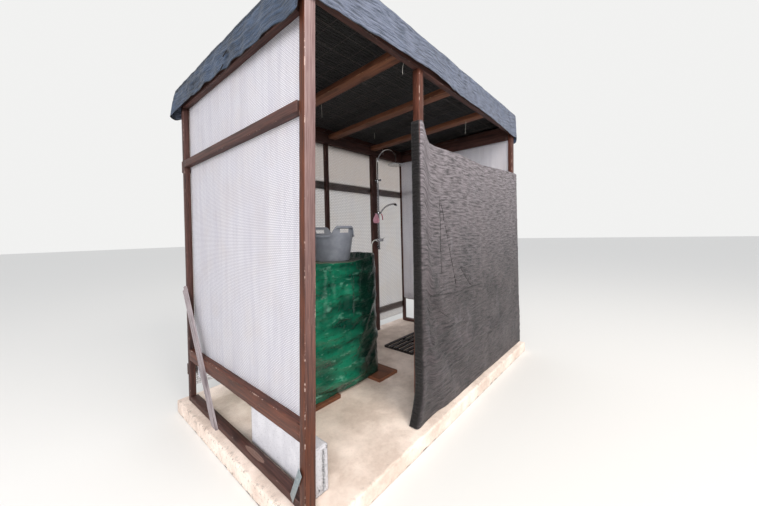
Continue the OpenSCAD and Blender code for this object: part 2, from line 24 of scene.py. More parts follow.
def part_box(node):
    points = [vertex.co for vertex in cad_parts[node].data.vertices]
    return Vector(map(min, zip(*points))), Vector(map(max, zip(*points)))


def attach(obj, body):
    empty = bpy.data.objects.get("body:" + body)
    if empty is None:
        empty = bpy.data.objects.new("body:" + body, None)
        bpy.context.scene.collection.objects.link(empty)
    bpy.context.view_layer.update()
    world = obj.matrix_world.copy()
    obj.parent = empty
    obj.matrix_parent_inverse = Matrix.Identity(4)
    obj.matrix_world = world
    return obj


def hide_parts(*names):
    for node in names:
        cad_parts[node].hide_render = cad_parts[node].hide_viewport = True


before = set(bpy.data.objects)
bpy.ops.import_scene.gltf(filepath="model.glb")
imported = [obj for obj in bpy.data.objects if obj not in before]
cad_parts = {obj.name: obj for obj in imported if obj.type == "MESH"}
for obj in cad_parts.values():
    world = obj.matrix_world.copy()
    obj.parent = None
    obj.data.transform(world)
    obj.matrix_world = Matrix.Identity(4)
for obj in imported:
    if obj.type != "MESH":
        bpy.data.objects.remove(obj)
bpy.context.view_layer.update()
LOG = logging.getLogger("wash_hut")

MM = 0.001
RIGHT, BACK, UP = Vector((1, 0, 0)), Vector((0, 1, 0)), Vector((0, 0, 1))
# The frame's front left corner on top of the slab
CORNER = Vector((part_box("beam_front")[0].x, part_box("beam_front")[0].y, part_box("slab")[1].z))

Line = tuple[tuple[float, float], ...]
Faces = list[tuple[int, ...]]
Form = tuple[list[Vector], Faces]
Inputs = Sequence[object] | dict[str | int, object]
Adder = Callable[..., bpy.types.Node]
# Type names of the shader nodes that every finish needs, and their settings
NOISE, RANGE, MIX, MATH, SCALED, BUMP, WAVE, SPLIT, UV, PLACE, FACING = ("ShaderNode" + kind for kind in (
    "TexNoise", "MapRange", "Mix", "Math", "Mapping", "Bump", "TexWave", "SeparateXYZ", "UVMap", "TexCoord",
    "NewGeometry"))
RGBA, TIMES, LARGER = {"data_type": "RGBA"}, {"operation": "MULTIPLY"}, {"operation": "MAXIMUM"}


def at(x: float, y: float, z: float) -> Vector:
    """Place in metres of millimetres to the right of, behind and above the frame's front left corner."""
    return CORNER + Vector((x, y, z)) * MM


def on_hut(place: Vector) -> Vector:
    """Millimetres from the frame's front left corner to a place in metres."""
    return (place - CORNER) / MM


def linear(hex_colour: str) -> tuple[float, float, float, float]:
    """Turn an sRGB hex colour into the linear red, green, blue and alpha that shaders take."""
    parts = [int(hex_colour[i:i + 2], 16) / 255 for i in (1, 3, 5)]
    red, green, blue = (c / 12.92 if c <= 0.04045 else ((c + 0.055) / 1.055) ** 2.4 for c in parts)
    return red, green, blue, 1.0


def configure(item: object, **settings: object) -> object:
    """Give a node, a modifier or other data its settings, and return it."""
    for name, value in settings.items():
        setattr(item, name, value)
    return item


def fill(node: bpy.types.Node, inputs: Inputs) -> None:
    """Give a node's sockets their values and links.

    Args:
        node: Node to fill in.
        inputs: Values in the order of the sockets in use, with None for one that stays, or values by a
            socket's name or its number among those in use. A node stands for its first output in use.
    """
    live = [socket for socket in node.inputs if socket.enabled]
    for key, value in inputs.items() if isinstance(inputs, dict) else enumerate(inputs):
        socket = live[key] if isinstance(key, int) else node.inputs[key]
        if isinstance(value, bpy.types.Node):
            value = next(output for output in value.outputs if output.enabled)
        if isinstance(value, bpy.types.NodeSocket):
            node.id_data.links.new(value, socket)
        elif value is not None:
            socket.default_value = value


def add_node(tree: bpy.types.NodeTree, kind: str, inputs: Inputs = (), **settings: object) -> bpy.types.Node:
    """Add a node with its settings and links.

    Args:
        tree: Node tree that the node goes into.
        kind: Type name of the node.
        inputs: What goes into its sockets, as fill takes it.
        **settings: Properties of the node.

    Returns:
        The new node.
    """
    node = configure(tree.nodes.new(kind), **settings)
    fill(node, inputs)
    return node


def layered(add: Adder, colour: object, layers: Iterable[tuple[Inputs, str]]) -> object:
    """Lay tones over a colour, each as strongly as its range of a pattern says.

    Args:
        add: Adds a node to the material's tree.
        colour: Colour or socket below.
        layers: Inputs of each tone's Map Range node, and the tone.

    Returns:
        The topmost colour.
    """
    for share, tone in layers:
        colour = add(MIX, (add(RANGE, share), colour, linear(tone)), **RGBA)
    return colour


@dataclass(frozen=True)
class Finish:
    """A surface finish, made into a material once.

    Attributes:
        name: Plain name of the real material.
        slot: Material slot of the record that it belongs to; not used.
        roughness: Roughness of the shader where no pattern drives it.
        sheer: Share of its light that comes through from behind.
    """
    name: str
    slot: str
    roughness: float = 0.6
    sheer: float = 0.0

    def material(self) -> bpy.types.Material:
        """Return the material, and build it on the first call."""
        found = bpy.data.materials.get(self.name)
        if found is not None:
            return found
        made = bpy.data.materials.new(self.name)
        made.use_nodes = True
        shader = made.node_tree.nodes["Principled BSDF"]
        fill(shader, {"Roughness": self.roughness, **self.paint(partial(add_node, made.node_tree))})
        if self.sheer:
            add = partial(add_node, made.node_tree)
            pale = add(MIX, (0.6, shader.inputs["Base Color"].links[0].from_socket, (1, 1, 1, 1)), **RGBA)
            behind = add("ShaderNodeBsdfTranslucent", {"Color": pale})
            fill(made.node_tree.nodes["Material Output"], {
                "Surface": add("ShaderNodeMixShader", (self.sheer, shader, behind))})
        return made

    def paint(self, add: Adder) -> dict[str, object]:
        """Add the finish's nodes.

        Args:
            add: Adds a node to the material's tree.

        Returns:
            What goes into the shader, by socket name.
        """
        raise NotImplementedError


@dataclass(frozen=True)
class Timber(Finish):
    """Sawn softwood, bare or stained: grain streaks, scratches along the grain and pale worn edges.

    Attributes:
        dark: Colour in the grain's dark streaks.
        light: Colour between them.
        worn: Colour of scratches and rubbed edges.
        dirt: Colour of the broad dirty patches.
        wear: How much of the surface is rubbed, from 0 to 1.
        fissure_mm: Depth of the grain's relief.
        painted_sunlight: How much painted sunlight lightens its front face towards its top, from 0 to 1.
    """
    dark: str = "#4a2e2a"
    light: str = "#6b463c"
    worn: str = "#a88d80"
    dirt: str = "#35231f"
    wear: float = 0.5
    fissure_mm: float = 0.8
    painted_sunlight: float = 0.0

    def paint(self, add: Adder) -> dict[str, object]:
        """Streaks of 160 by 3 mm, chips of 52 by 13 mm, along the piece's own UV in metres."""
        grain = add(UV, uv_map="grain")
        share, width, _ = add(SPLIT, (add(UV, uv_map="across"),)).outputs
        fine, coarse = (add(SCALED, (grain, None, None, (1, stretch, 1))) for stretch in (50, 4))
        streaks, rings, scratches = (add(NOISE, (fine, 1000 / size, detail, rough))
                                     for size, detail, rough in (
            (160, 6, 0.62), (600, 3, 0.5), (120, 3, 0.6)))
        patches, chips = (add(NOISE, (coarse, 1000 / size, detail, rough)) for size, detail, rough in (
            (240, 3, 0.5), (52, 6, 0.8)))
        tone = add(MIX, (0.35, streaks, rings))
        colour = layered(add, linear(self.dark), (((tone, 0.4, 0.6), self.light),
                                                  ((patches, 0.52, 0.72, 0.0, 0.7), self.dirt)))
        # Painted sunlight: the face that looks to the front turns to a lighter sunlit tone towards its top
        height = add(SPLIT, (add(PLACE).outputs["Object"],)).outputs[2]
        back = add(SPLIT, (add(FACING).outputs["Normal"],)).outputs[1]
        sunny = add(MATH, (add(RANGE, (height, 0.5, 2.3)),
                           add(RANGE, (back, -0.5, -0.9, 0.0, self.painted_sunlight))), **TIMES)
        sunlit_tone = layered(add, linear("#6d5150"), [((tone, 0.38, 0.6), "#94807f")])
        colour = add(MIX, (sunny, colour, sunlit_tone), **RGBA)
        # Distance to the nearer edge of the face, from its share across and its width
        distance = add(MATH, (add(MATH, (share, 0.5), operation="PINGPONG"), width), **TIMES)
        reach = add(MATH, (add(RANGE, (chips, 0.54, 0.80, 0.0, 0.014 * self.wear)),
                           add(RANGE, (patches, 0.52, 0.62))), **TIMES)
        edge = add(MATH, (add(MATH, (distance, reach), operation="LESS_THAN"), 0.6), **TIMES)
        rubbed = add(RANGE, (scratches, 0.74 - 0.10 * self.wear, 0.82 - 0.10 * self.wear))
        where = add(RANGE, (patches, 0.62 - 0.2 * self.wear, 0.40 - 0.2 * self.wear, 1.0, 0.0))
        nicks = add(RANGE, (chips, 0.72 - 0.06 * self.wear, 0.75 - 0.06 * self.wear, 0.0, 0.85))
        wear = add(MATH, (add(MATH, (edge, nicks), **LARGER), add(MATH, (rubbed, where), **TIMES)), **LARGER)
        relief = add(BUMP, {"Height": tone, "Distance": self.fissure_mm * MM})
        return {"Base Color": layered(add, colour, [((wear, 0.0, 1.0), self.worn)]),
                "Roughness": add(RANGE, (streaks, 0.3, 0.7, self.roughness - 0.1, self.roughness + 0.15)),
                "Specular IOR Level": 0.35,
                "Normal": add(BUMP, {"Height": wear, "Distance": -0.4 * MM, "Normal": relief})}


@dataclass(frozen=True)
class CastConcrete(Finish):
    """Trowelled concrete: a pinkish sandy skin with fine grit, pale clouds and mould along its edges."""
    pale: str = "#fdebde"
    shade: str = "#d6c2b4"
    grit: str = "#8d7f73"
    mould: str = "#453f39"

    def paint(self, add: Adder) -> dict[str, object]:
        """Sand grains of 3 mm, clouds of 38 mm, stains of 260 mm, mould spots of 30 mm."""
        place = add(PLACE).outputs["Object"]
        sand, stains, clouds, mould = (add(NOISE, (place, 1000 / size, detail, rough))
                                       for size, detail, rough in (
            (3, 3, 0.75), (260, 4, 0.6), (38, 4, 0.6), (30, 5, 0.75)))
        edge = add("ShaderNodeAttribute", attribute_name="edge").outputs["Fac"]
        spread = add(MATH, (add(RANGE, (mould, 0.53, 0.61, 0.0, 0.7)), edge), **TIMES)
        colour = layered(add, linear(self.shade), (
            ((stains, 0.38, 0.62), self.pale), ((sand, 0.44, 0.36, 0.0, 0.55), self.grit),
            ((sand, 0.56, 0.64, 0.0, 0.5), "#efe2d6"), ((clouds, 0.45, 0.75, 0.0, 0.4), "#f0e3d6"),
            ((spread, 0.0, 1.0), self.mould)))
        fine = add(BUMP, {"Height": sand, "Distance": 0.6 * MM})
        return {"Base Color": colour,
                "Normal": add(BUMP, {"Height": clouds, "Distance": 1.2 * MM, "Normal": fine})}


@dataclass(frozen=True)
class ShadeFabric(Finish):
    """Woven black polyethylene shade fabric, faded outside, crinkled in fine lines along the cloth.

    Attributes:
        deep: Colour in the hollows of its crinkles, where shade is painted, and where it is least faded.
        faded: Colour where the sun has faded it.
        under: Colour of the side that faces down, which the sun never reaches, darkened further as painted
            shade.
        painted_sunlight: Colour of painted sunlight on the side that faces the front, towards its top.
        sunny_z: Heights in metres between which the painted sunlight grows.
        streaked: How strong its upright streaks are.
        left_shade: How much painted shade darkens the side that faces left.
    """
    deep: str = "#19171a"
    faded: str = "#5a5153"
    under: str = "#0c0b0b"
    painted_sunlight: str = "#989096"
    sunny_z: tuple[float, float] = (0.9, 2.2)
    streaked: float = 0.35
    left_shade: float = 0.9
    # Spacing of the threads, coarser than the real 1 mm so that it shows
    thread_mm: float = 5.0

    def paint(self, add: Adder) -> dict[str, object]:
        """Crinkles of 100 by 15 mm, streaks of 60 by 400 mm and threads, along the cloth's UV in metres."""
        cloth = add(UV, uv_map="cloth")
        level, upright = (add(SCALED, (cloth, None, None, stretch)) for stretch in ((1, 6.5, 1), (6.5, 1, 1)))
        crinkle, flecks, broad, streaks = (add(NOISE, (lie, 1000 / size, detail, rough))
                                           for lie, size, detail, rough in (
            (level, 100, 4, 0.6), (level, 32, 3, 0.7), (cloth, 330, 4, 0.6), (upright, 400, 4, 0.6)))
        threads = add(MATH, [add(WAVE, (cloth, 314.16 / self.thread_mm), bands_direction=axis).outputs["Fac"]
                             for axis in ("X", "Y")], **LARGER)
        right, back, up = add(SPLIT, (add(FACING).outputs["Normal"],)).outputs
        height = add(SPLIT, (add(PLACE).outputs["Object"],)).outputs[2]
        # Painted sunlight: the side that faces the front is lit towards its top, most on the crinkles' ridges
        sunny = add(MATH, (add(RANGE, (height, *self.sunny_z)), add(RANGE, (back, -0.3, -0.7))), **TIMES)
        sunny = add(MATH, (sunny, add(RANGE, (crinkle, 0.38, 0.6, 0.2, 0.95))), **TIMES)
        # Painted shade in the crinkles' hollows, mixed with patches that fade at random
        colour = layered(add, linear(self.deep), (
            ((add(MIX, (0.4, crinkle, broad)), 0.38, 0.62), self.faded), ((sunny, 0.0, 1.0), self.painted_sunlight),
            ((flecks, 0.62, 0.78, 0.0, 0.3), "#8b8890"),
            ((streaks, 0.55, 0.75, 0.0, self.streaked), "#807c82"),
            # Dark weave gaps; then the side that faces down takes the under colour: unfaded cloth with
            # painted shade
            ((threads, 0.2, 0.9, 0.3, 0.0), "#161618"), ((up, -0.35, -0.7), self.under),
            # Painted shade on the side that faces left, in the dark under colour
            ((right, -0.5, -0.9, 0.0, self.left_shade), self.under)))
        lines = add(BUMP, {"Height": crinkle, "Distance": 24 * MM})
        return {"Base Color": colour, "Sheen Weight": 0.1, "Sheen Roughness": 0.45, "Specular IOR Level": 0.3,
                "Normal": add(BUMP, {"Height": threads, "Distance": 0.5 * MM, "Normal": lines})}


@dataclass(frozen=True)
class RibbedSheeting(Finish):
    """White woven greenhouse sheeting: flat tapes in a brick bond; light comes through it.

    Attributes:
        pale: Colour of the tapes.
        shade: Colour of the gaps between them.
        stain: How strong the stains are.
        show_through_from: Height on the sheet, in metres, above which the ground behind it is painted showing
            through.
        tape_mm: Height of a tape.
    """
    pale: str = "#f2f1f5"
    shade: str = "#918d9d"
    stain: float = 0.12
    show_through_from: float = 9.0
    tape_mm: float = 9.5

    def paint(self, add: Adder) -> dict[str, object]:
        """Tapes 22 mm long, streaks of 700 by 45 mm, stains of 280 mm, along the cloth's UV in metres."""
        cloth = add(UV, uv_map="cloth")
        gaps = add("ShaderNodeTexBrick", {
            "Vector": cloth, "Scale": 9.5 / self.tape_mm, "Mortar Size": 0.0021, "Mortar Smooth": 0.5,
            "Brick Width": 0.022, "Row Height": 0.0095}).outputs["Fac"]
        streaks, stains, mottles = (
            add(NOISE, (add(SCALED, (cloth, None, None, stretch)), 1000 / size, 4, rough))
            for stretch, size, rough in (
                ((15, 1, 1), 700, 0.6), ((1, 1, 1), 280, 0.62), ((1, 2, 1), 26, 0.7)))
        height = add(SPLIT, (cloth,)).outputs[1]
        # Painted show-through: above that height, the tan ground behind the sheet is painted on in mottles
        show_through = add(MATH, (add(RANGE, (height, self.show_through_from, self.show_through_from + 0.1)),
                            add(RANGE, (mottles, 0.35, 0.6, 0.15, 0.75))), **TIMES)
        colour = layered(add, linear(self.pale), (
            ((gaps, 0.0, 1.0, 0.0, 0.8), self.shade), ((streaks, 0.42, 0.68, 0.0, 0.3), "#a9a5b6"),
            ((stains, 0.45, 0.75, 0.0, self.stain), "#cdb394"),
            ((mottles, 0.50, 0.75, 0.0, self.stain), "#8f8a88"), ((show_through, 0.0, 1.0), "#b0937a")))
        tapes = add(BUMP, {"Height": gaps, "Distance": -0.9 * MM})
        return {"Base Color": colour,
                "Normal": add(BUMP, {"Height": streaks, "Distance": 3 * MM, "Normal": tapes})}


@dataclass(frozen=True)
class CoatedTarpaulin(Finish):
    """Laminated green tarpaulin: glossy, with a scrim of tapes, level swags, crumples and dust on its top.

    Attributes:
        deep: Colour in the hollows of its swags, where shade is painted.
        bright: Colour on the swags between them, where they are painted lit.
        shaded_x: Places to the right, in metres, between which painted shade darkens it.
    """
    deep: str = "#083f31"
    bright: str = "#17795b"
    shaded_x: tuple[float, float] = (-0.50, -0.36)

    def paint(self, add: Adder) -> dict[str, object]:
        """Tapes of 6 mm, swags of 330 by 110 mm, crumples of 120 and 42 mm, dust on what faces up."""
        cloth = add(UV, uv_map="cloth")
        level = add(SCALED, (cloth, None, None, (1, 2.0, 1)))
        swags = add(NOISE, (add(SCALED, (cloth, None, None, (1, 3, 1))), 1000 / 330, 2, 0.4))
        crumple, fine = (add(NOISE, (level, 1000 / size, 3, 0.5)) for size in (120, 42))
        dust = add(NOISE, (cloth, 1000 / 90, 5, 0.7))
        scrim = add(MATH, [add(WAVE, (cloth, 314.16 / 6.0), bands_direction=axis).outputs["Fac"]
                           for axis in ("X", "Y")], **LARGER)
        up = add(SPLIT, (add(FACING).outputs["Normal"],)).outputs[2]
        right = add(SPLIT, (add(PLACE).outputs["Object"],)).outputs[0]
        dusty = add(MATH, (add(RANGE, (up, 0.6, 0.95, 0.0, 0.75)),
                           add(RANGE, (dust, 0.6, 0.8, 0.0, 0.35))), **LARGER)
        colour = layered(add, linear(self.deep), (
            # Painted shade in the swags' hollows; then a painted highlight on the crumples' crests
            ((swags, 0.35, 0.6), self.bright), ((crumple, 0.60, 0.74, 0.0, 0.65), "#86c4ad"),
            # Painted shade in the fine crumples' hollows; then real dust on what faces up
            ((fine, 0.42, 0.32, 0.0, 0.5), "#04281f"), ((dusty, 0.0, 1.0), "#5f5b40"),
            # Painted shade over the right-hand part, which the screen keeps in shadow
            ((right, *self.shaded_x, 0.0, 0.88), "#04120f")))
        folds = None
        for height, depth_mm in ((swags, 60), (crumple, 26), (fine, 5)):
            folds = add(BUMP, {"Height": height, "Distance": depth_mm * MM, "Normal": folds})
        return {"Base Color": colour, "Roughness": add(RANGE, (dusty, 0.1, 0.7, self.roughness, 0.6)),
                "Coat Weight": 0.5, "Coat Roughness": 0.18,
                "Normal": add(BUMP, {"Height": scrim, "Distance": 0.3 * MM, "Normal": folds})}


@dataclass(frozen=True)
class Moulded(Finish):
    """Moulded plastic, rubber or foam: an even colour with faint clouds, specks and a fine skin.

    Attributes:
        tone: Main colour.
        cloud: Colour of its faint clouds.
        speck: Colour of its specks.
        specks: How many specks show, from 0 to 1.
        grain_mm: Size of the skin's grain.
        grain_depth_mm: Depth of the skin's grain.
    """
    tone: str = "#7d828c"
    cloud: str = "#8d929b"
    speck: str = "#4c4e52"
    specks: float = 0.1
    grain_mm: float = 1.5
    grain_depth_mm: float = 0.12

    def paint(self, add: Adder) -> dict[str, object]:
        """Clouds of 80 mm, specks of 5 mm, a skin of the named grain, and painted shade by the edge
        attribute.
        """
        place = add(PLACE).outputs["Object"]
        clouds, dots, skin = (add(NOISE, (place, 1000 / size, 3, 0.55)) for size in (80, 5, self.grain_mm))
        # Painted shade where the edge attribute asks for it, broken into specks
        stained = add(MATH, (add("ShaderNodeAttribute", attribute_name="edge").outputs["Fac"],
                             add(RANGE, (dots, 0.42, 0.55))), **TIMES)
        fewest = 0.80 - 0.2 * self.specks
        colour = layered(add, linear(self.tone), (
            ((clouds, 0.35, 0.65), self.cloud), ((dots, fewest, fewest + 0.04), self.speck),
            ((stained, 0.0, 1.0), "#35393a")))
        return {"Base Color": colour,
                "Normal": add(BUMP, {"Height": skin, "Distance": self.grain_depth_mm * MM})}


@dataclass(frozen=True)
class PlatedMetal(Finish):
    """Plated metal: chromed brass or zinc-coated steel, with faint stains that dull it.

    Attributes:
        tone: Colour of its reflections.
        dull: Colour of its stains.
        spangle_mm: Size of its crystals or stains.
        relief_mm: Depth of its surface.
    """
    tone: str = "#d5d7da"
    dull: str = "#a7a9ac"
    spangle_mm: float = 12.0
    relief_mm: float = 0.02

    def paint(self, add: Adder) -> dict[str, object]:
        """Stains change the colour a little and the roughness more."""
        spangle = add(NOISE, (add(PLACE).outputs["Object"], 1000 / self.spangle_mm, 3, 0.6))
        return {"Base Color": layered(add, linear(self.tone), [((spangle, 0.4, 0.65), self.dull)]),
                "Roughness": add(RANGE, (spangle, 0.35, 0.7, self.roughness * 0.7, self.roughness * 1.5)),
                "Metallic": 1.0, "Normal": add(BUMP, {"Height": spangle, "Distance": self.relief_mm * MM})}


STAINED = Timber("stained_softwood", "stained_timber", 0.55, dark="#241310", light="#5b3a33", worn="#8d756d",
                 dirt="#1f1211")
FRONT_POST = Timber("stained_softwood_worn", "stained_timber", 0.5, dark="#2c130b", light="#6c3f30",
                    worn="#b39a8d", dirt="#351a14", wear=0.7)
# A copy of the worn stain with painted sunlight on its front face
SUNNY_POST = Timber("stained_softwood_painted_sunlight", "stained_timber", 0.5, dark="#2c130b", light="#653622",
                    worn="#c0a99e", dirt="#351a14", wear=0.7, painted_sunlight=0.9)
BARE = Timber("bare_softwood", "raw_timber", 0.6, dark="#5a3324", light="#8a5a40", worn="#ab8766",
              dirt="#3a241c", wear=0.3)
GREY_WOOD = Timber("weathered_softwood", "grey_timber", 0.8, dark="#756a6c", light="#ada3a5", worn="#d2cbcb",
                   dirt="#564b50", wear=0.5, fissure_mm=2.2)
DARK_SLATS = Timber("dark_stained_slats", "dark_mat", 0.55, dark="#15110f", light="#2b2422", worn="#544a45",
                    dirt="#100d0c", wear=0.4)
PEELED = Timber("peeled_softwood", "stained_timber", 0.75, dark="#5d453e", light="#8a6f64", worn="#cdbab0",
                dirt="#4a332d", wear=1.0)
CONCRETE = CastConcrete("cast_concrete", "concrete", 0.88)
SCREEN_CLOTH = ShadeFabric("shade_fabric_screen", "black_fabric", 0.6)
# The cover's front skirt takes painted sunlight at every height
COVER_CLOTH = ShadeFabric("shade_fabric_cover", "black_fabric", 0.58, deep="#1b2635", faded="#41536d",
                          painted_sunlight="#757d92", sunny_z=(0.0, 0.1), streaked=0.0, left_shade=0.0)
SHEETING = RibbedSheeting("ribbed_sheeting", "white_sheeting", 0.7, 0.35)
# The back wall's sheeting: more stains, darker tape gaps, and painted show-through above 1.84 m
BACK_SHEETING = RibbedSheeting("ribbed_sheeting_dusty_painted_show_through", "white_sheeting", 0.75, 0.88, "#faf5f3", "#544d4a",
                               0.3, 1.84, 19.0)
TARPAULIN = CoatedTarpaulin("coated_tarpaulin", "green_tarpaulin", 0.22)
TANK_WALL = Moulded("natural_polyethylene", "tank_plastic", 0.45, 0.0, "#cfd2cb", "#dfe1db", "#8f9189")
TUB_WALL = Moulded("grey_polyethylene", "grey_plastic", 0.42, 0.0, "#878c97", "#999eaa", "#6a6d74", 0.1, 1.2)
FOAM = Moulded("expanded_foam", "white_foam", 0.85, 0.0, "#c5c4c9", "#d2d1d5", "#858384", 0.9, 3.0, 0.6)
HOSE_WALL = Moulded("white_pvc_hose", "white_hose", 0.35, 0.0, "#e1e1dc", "#efefeb", "#a5a49d", 0.1, 1.0)
NET = Moulded("pink_nylon_net", "pink_mesh", 0.7, 0.0, "#cf8fa2", "#e5b4c2", "#a4566f", 0.9, 1.5, 0.8)
STRAP = Moulded("pink_rubber_strap", "pink_mesh", 0.5, 0.0, "#b8495e", "#c9647a", "#7c2c3d", 0.2, 1.5, 0.2)
STRING = Moulded("white_twine", "white_hose", 0.8, 0.0, "#d8d5cc", "#e8e5dd", "#9c978b", 0.5, 0.8, 0.3)
CHROME = PlatedMetal("chromed_brass", "chrome", 0.12)
ZINC = PlatedMetal("galvanised_steel", "zinc", 0.42, 0.0, "#a9b8c0", "#8797a0", 7.0, 0.05)
WIRE = PlatedMetal("galvanised_wire", "mesh_wire", 0.5, 0.0, "#6b6764", "#4a4340", 9.0, 0.05)
BLACK_YARN = Moulded("black_polyethylene_yarn", "black_fabric", 0.7, 0.0, "#0c0b0c", "#141315", "#1c1b1d")


def show(piece: bpy.types.Object, finish: Finish, *nodes: str, smooth: bool = True) -> None:
    """Dress a piece and hang it on the frame.

    Args:
        piece: Object at the origin, with its place in its mesh.
        finish: Finish of the whole piece.
        *nodes: Solids that it stands for.
        smooth: Whether its faces are shaded smooth.
    """
    piece.data.materials.clear()
    piece.data.materials.append(finish.material())
    piece.data.shade_smooth() if smooth else piece.data.shade_flat()
    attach(piece, "root")
    if nodes:
        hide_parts(*nodes)
    LOG.info("%s: %d faces", piece.name, len(piece.data.polygons))


def placed(name: str, data: bpy.types.ID) -> bpy.types.Object:
    """Link a new object with its data to the scene."""
    piece = bpy.data.objects.new(name, data)
    bpy.context.scene.collection.objects.link(piece)
    return piece


def mesh_piece(name: str, points: Iterable[Vector], faces: Iterable[Sequence[int]],
               edges: Sequence[tuple[int, int]] = ()) -> bpy.types.Object:
    """Make an object of points in the part's frame, faces and loose edges."""
    mesh = bpy.data.meshes.new(name)
    mesh.from_pydata([tuple(p) for p in points], edges, [tuple(f) for f in faces])
    mesh.update()
    return placed(name, mesh)


def lay_map(piece: bpy.types.Object, name: str, place: Callable[[int], tuple[float, float]]) -> None:
    """Write a UV map that gives the place of each point by its number."""
    layer = piece.data.uv_layers.new(name=name)
    for loop in piece.data.loops:
        layer.data[loop.index].uv = place(loop.vertex_index)


def bake(piece: bpy.types.Object) -> bpy.types.Mesh:
    """Keep what a piece's modifiers make as its plain mesh."""
    mesh = bpy.data.meshes.new_from_object(piece.evaluated_get(bpy.context.evaluated_depsgraph_get()))
    piece.modifiers.clear()
    piece.data = mesh
    return mesh


def move(mesh: bpy.types.Mesh, places: Sequence[Vector]) -> None:
    """Put each point of a mesh at its new place."""
    for vertex, place in zip(mesh.vertices, places):
        vertex.co = place
    mesh.update()


@contextmanager
def edited(piece: bpy.types.Object) -> Iterator[bmesh.types.BMesh]:
    """Open a piece's mesh for editing, and keep what was done to it."""
    mesh = bmesh.new()
    mesh.from_mesh(piece.data)
    yield mesh
    mesh.to_mesh(piece.data)
    mesh.free()


def outward(piece: bpy.types.Object, weld: bool = False) -> None:
    """Turn a piece's faces outwards, its doubles merged first where asked."""
    with edited(piece) as mesh:
        if weld:
            bmesh.ops.remove_doubles(mesh, verts=mesh.verts, dist=1e-6)
        bmesh.ops.recalc_face_normals(mesh, faces=mesh.faces)


def solid_points(node: str) -> list[Vector]:
    """Corners of a solid."""
    return [v.co.copy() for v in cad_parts[node].data.vertices]


def limits(points: Sequence[Vector]) -> tuple[Vector, Vector]:
    """Lowest and highest corner of the box round some points."""
    low, high = (Vector(pick(p[i] for p in points) for i in range(3)) for pick in (min, max))
    return low, high


def ends_of(node: str, axis: int) -> list[tuple[Vector, Vector]]:
    """Lowest and highest corner of a solid's end faces along an axis."""
    points = solid_points(node)
    return [limits([p for p in points if abs(p[axis] - end[axis]) < 1e-5]) for end in limits(points)]


def eased(share: float) -> float:
    """Share from 0 to 1 that starts and ends gently."""
    share = min(1.0, max(0.0, share))
    return share * share * (3 - 2 * share)


def wobble(place: Vector, size_mm: float, seed: float = 0.0) -> float:
    """Smooth noise from about -1 to 1 with bumps of a size in millimetres."""
    return noise.noise(place * (1000 / size_mm) + Vector((seed, seed * 1.7, -seed)))


def level_at(points: Sequence[tuple[float, float]], x: float) -> float:
    """Height of a line of points at a place, level beyond its ends."""
    if x <= points[0][0]:
        return points[0][1]
    for (x0, z0), (x1, z1) in zip(points, points[1:]):
        if x <= x1:
            return z0 + (z1 - z0) * (x - x0) / (x1 - x0)
    return points[-1][1]


def gap_to(points: Sequence[tuple[float, float]], x: float, z: float) -> float:
    """Shortest distance from a place to a line of points."""
    best = math.inf
    for (x0, z0), (x1, z1) in zip(points, points[1:]):
        along, up = x1 - x0, z1 - z0
        share = min(1.0, max(0.0, ((x - x0) * along + (z - z0) * up) / (along * along + up * up)))
        best = min(best, math.hypot(x - x0 - share * along, z - z0 - share * up))
    return best


def inset(place: Vector, box: tuple[Vector, Vector]) -> float:
    """How far a place lies inside the sides of a box, seen from above."""
    low, high = box
    return min(place.x - low.x, high.x - place.x, place.y - low.y, high.y - place.y)


def creased(creases: Iterable[tuple[float, float, Line]], x: float, z: float) -> float:
    """How far a cloth stands out at a place by its creases' heights, half widths and lines."""
    return sum(height * math.exp(-(gap_to(line, x, z) / width) ** 2) for height, width, line in creases)


def joined(parts: Iterable[Form]) -> Form:
    """Put several forms into one."""
    points: list[Vector] = []
    faces: Faces = []
    for more_points, more_faces in parts:
        shift = len(points)
        points += more_points
        faces += [tuple(i + shift for i in face) for face in more_faces]
    return points, faces


def bands(rows: int, ring: int) -> Faces:
    """Quads between rows of points, each row a closed ring."""
    return [(i * ring + k, i * ring + (k + 1) % ring, (i + 1) * ring + (k + 1) % ring, (i + 1) * ring + k)
            for i in range(rows - 1) for k in range(ring)]


def closed(rows: int, ring: int) -> Faces:
    """Quads between rows of points, each a closed ring, and a face at each end."""
    return [*bands(rows, ring), tuple(range(ring - 1, -1, -1)), tuple(range((rows - 1) * ring, rows * ring))]


def square_to(ahead: Vector) -> Vector:
    """A direction square to another."""
    return ahead.cross(BACK if abs(ahead.z) > 0.9 else UP).normalized()


def circle(middle: Vector, ahead: Vector, side: Vector, radius: float, sides: int) -> list[Vector]:
    """Points round a middle, square to the direction ahead, from the given side on."""
    other = ahead.cross(side)
    return [middle + (side * math.cos(a) + other * math.sin(a)) * radius
            for a in (2 * math.pi * k / sides for k in range(sides))]


def tube(path: Sequence[Vector], radii: Sequence[float] | float, sides: int = 16) -> Form:
    """Sweep a circle along a path, its ends closed.

    Args:
        path: Points of the middle line.
        radii: One radius, or one for each point.
        sides: Sides of the tube.

    Returns:
        Points and faces, the faces outwards.
    """
    count = len(path)
    widths = [radii] * count if isinstance(radii, (int, float)) else radii
    points: list[Vector] = []
    side = None
    for i, middle in enumerate(path):
        ahead = (path[min(i + 1, count - 1)] - path[max(i - 1, 0)]).normalized()
        side = square_to(ahead) if side is None else side
        side = (side - ahead * side.dot(ahead)).normalized()
        points += circle(middle, ahead, side, widths[i], sides)
    return points, closed(count, sides)


def spun(profile: Sequence[tuple[float, float]], base: Vector, axis: Vector, sides: int = 40) -> Form:
    """Turn a profile of radius and height, in millimetres, round an axis from its base."""
    points = [point for radius, height in profile
              for point in circle(base + axis * (height * MM), axis, square_to(axis), radius * MM, sides)]
    return points, closed(len(profile), sides)


class Along(Enum):
    """Direction of a timber's grain."""
    X = 0
    Y = 1
    Z = 2


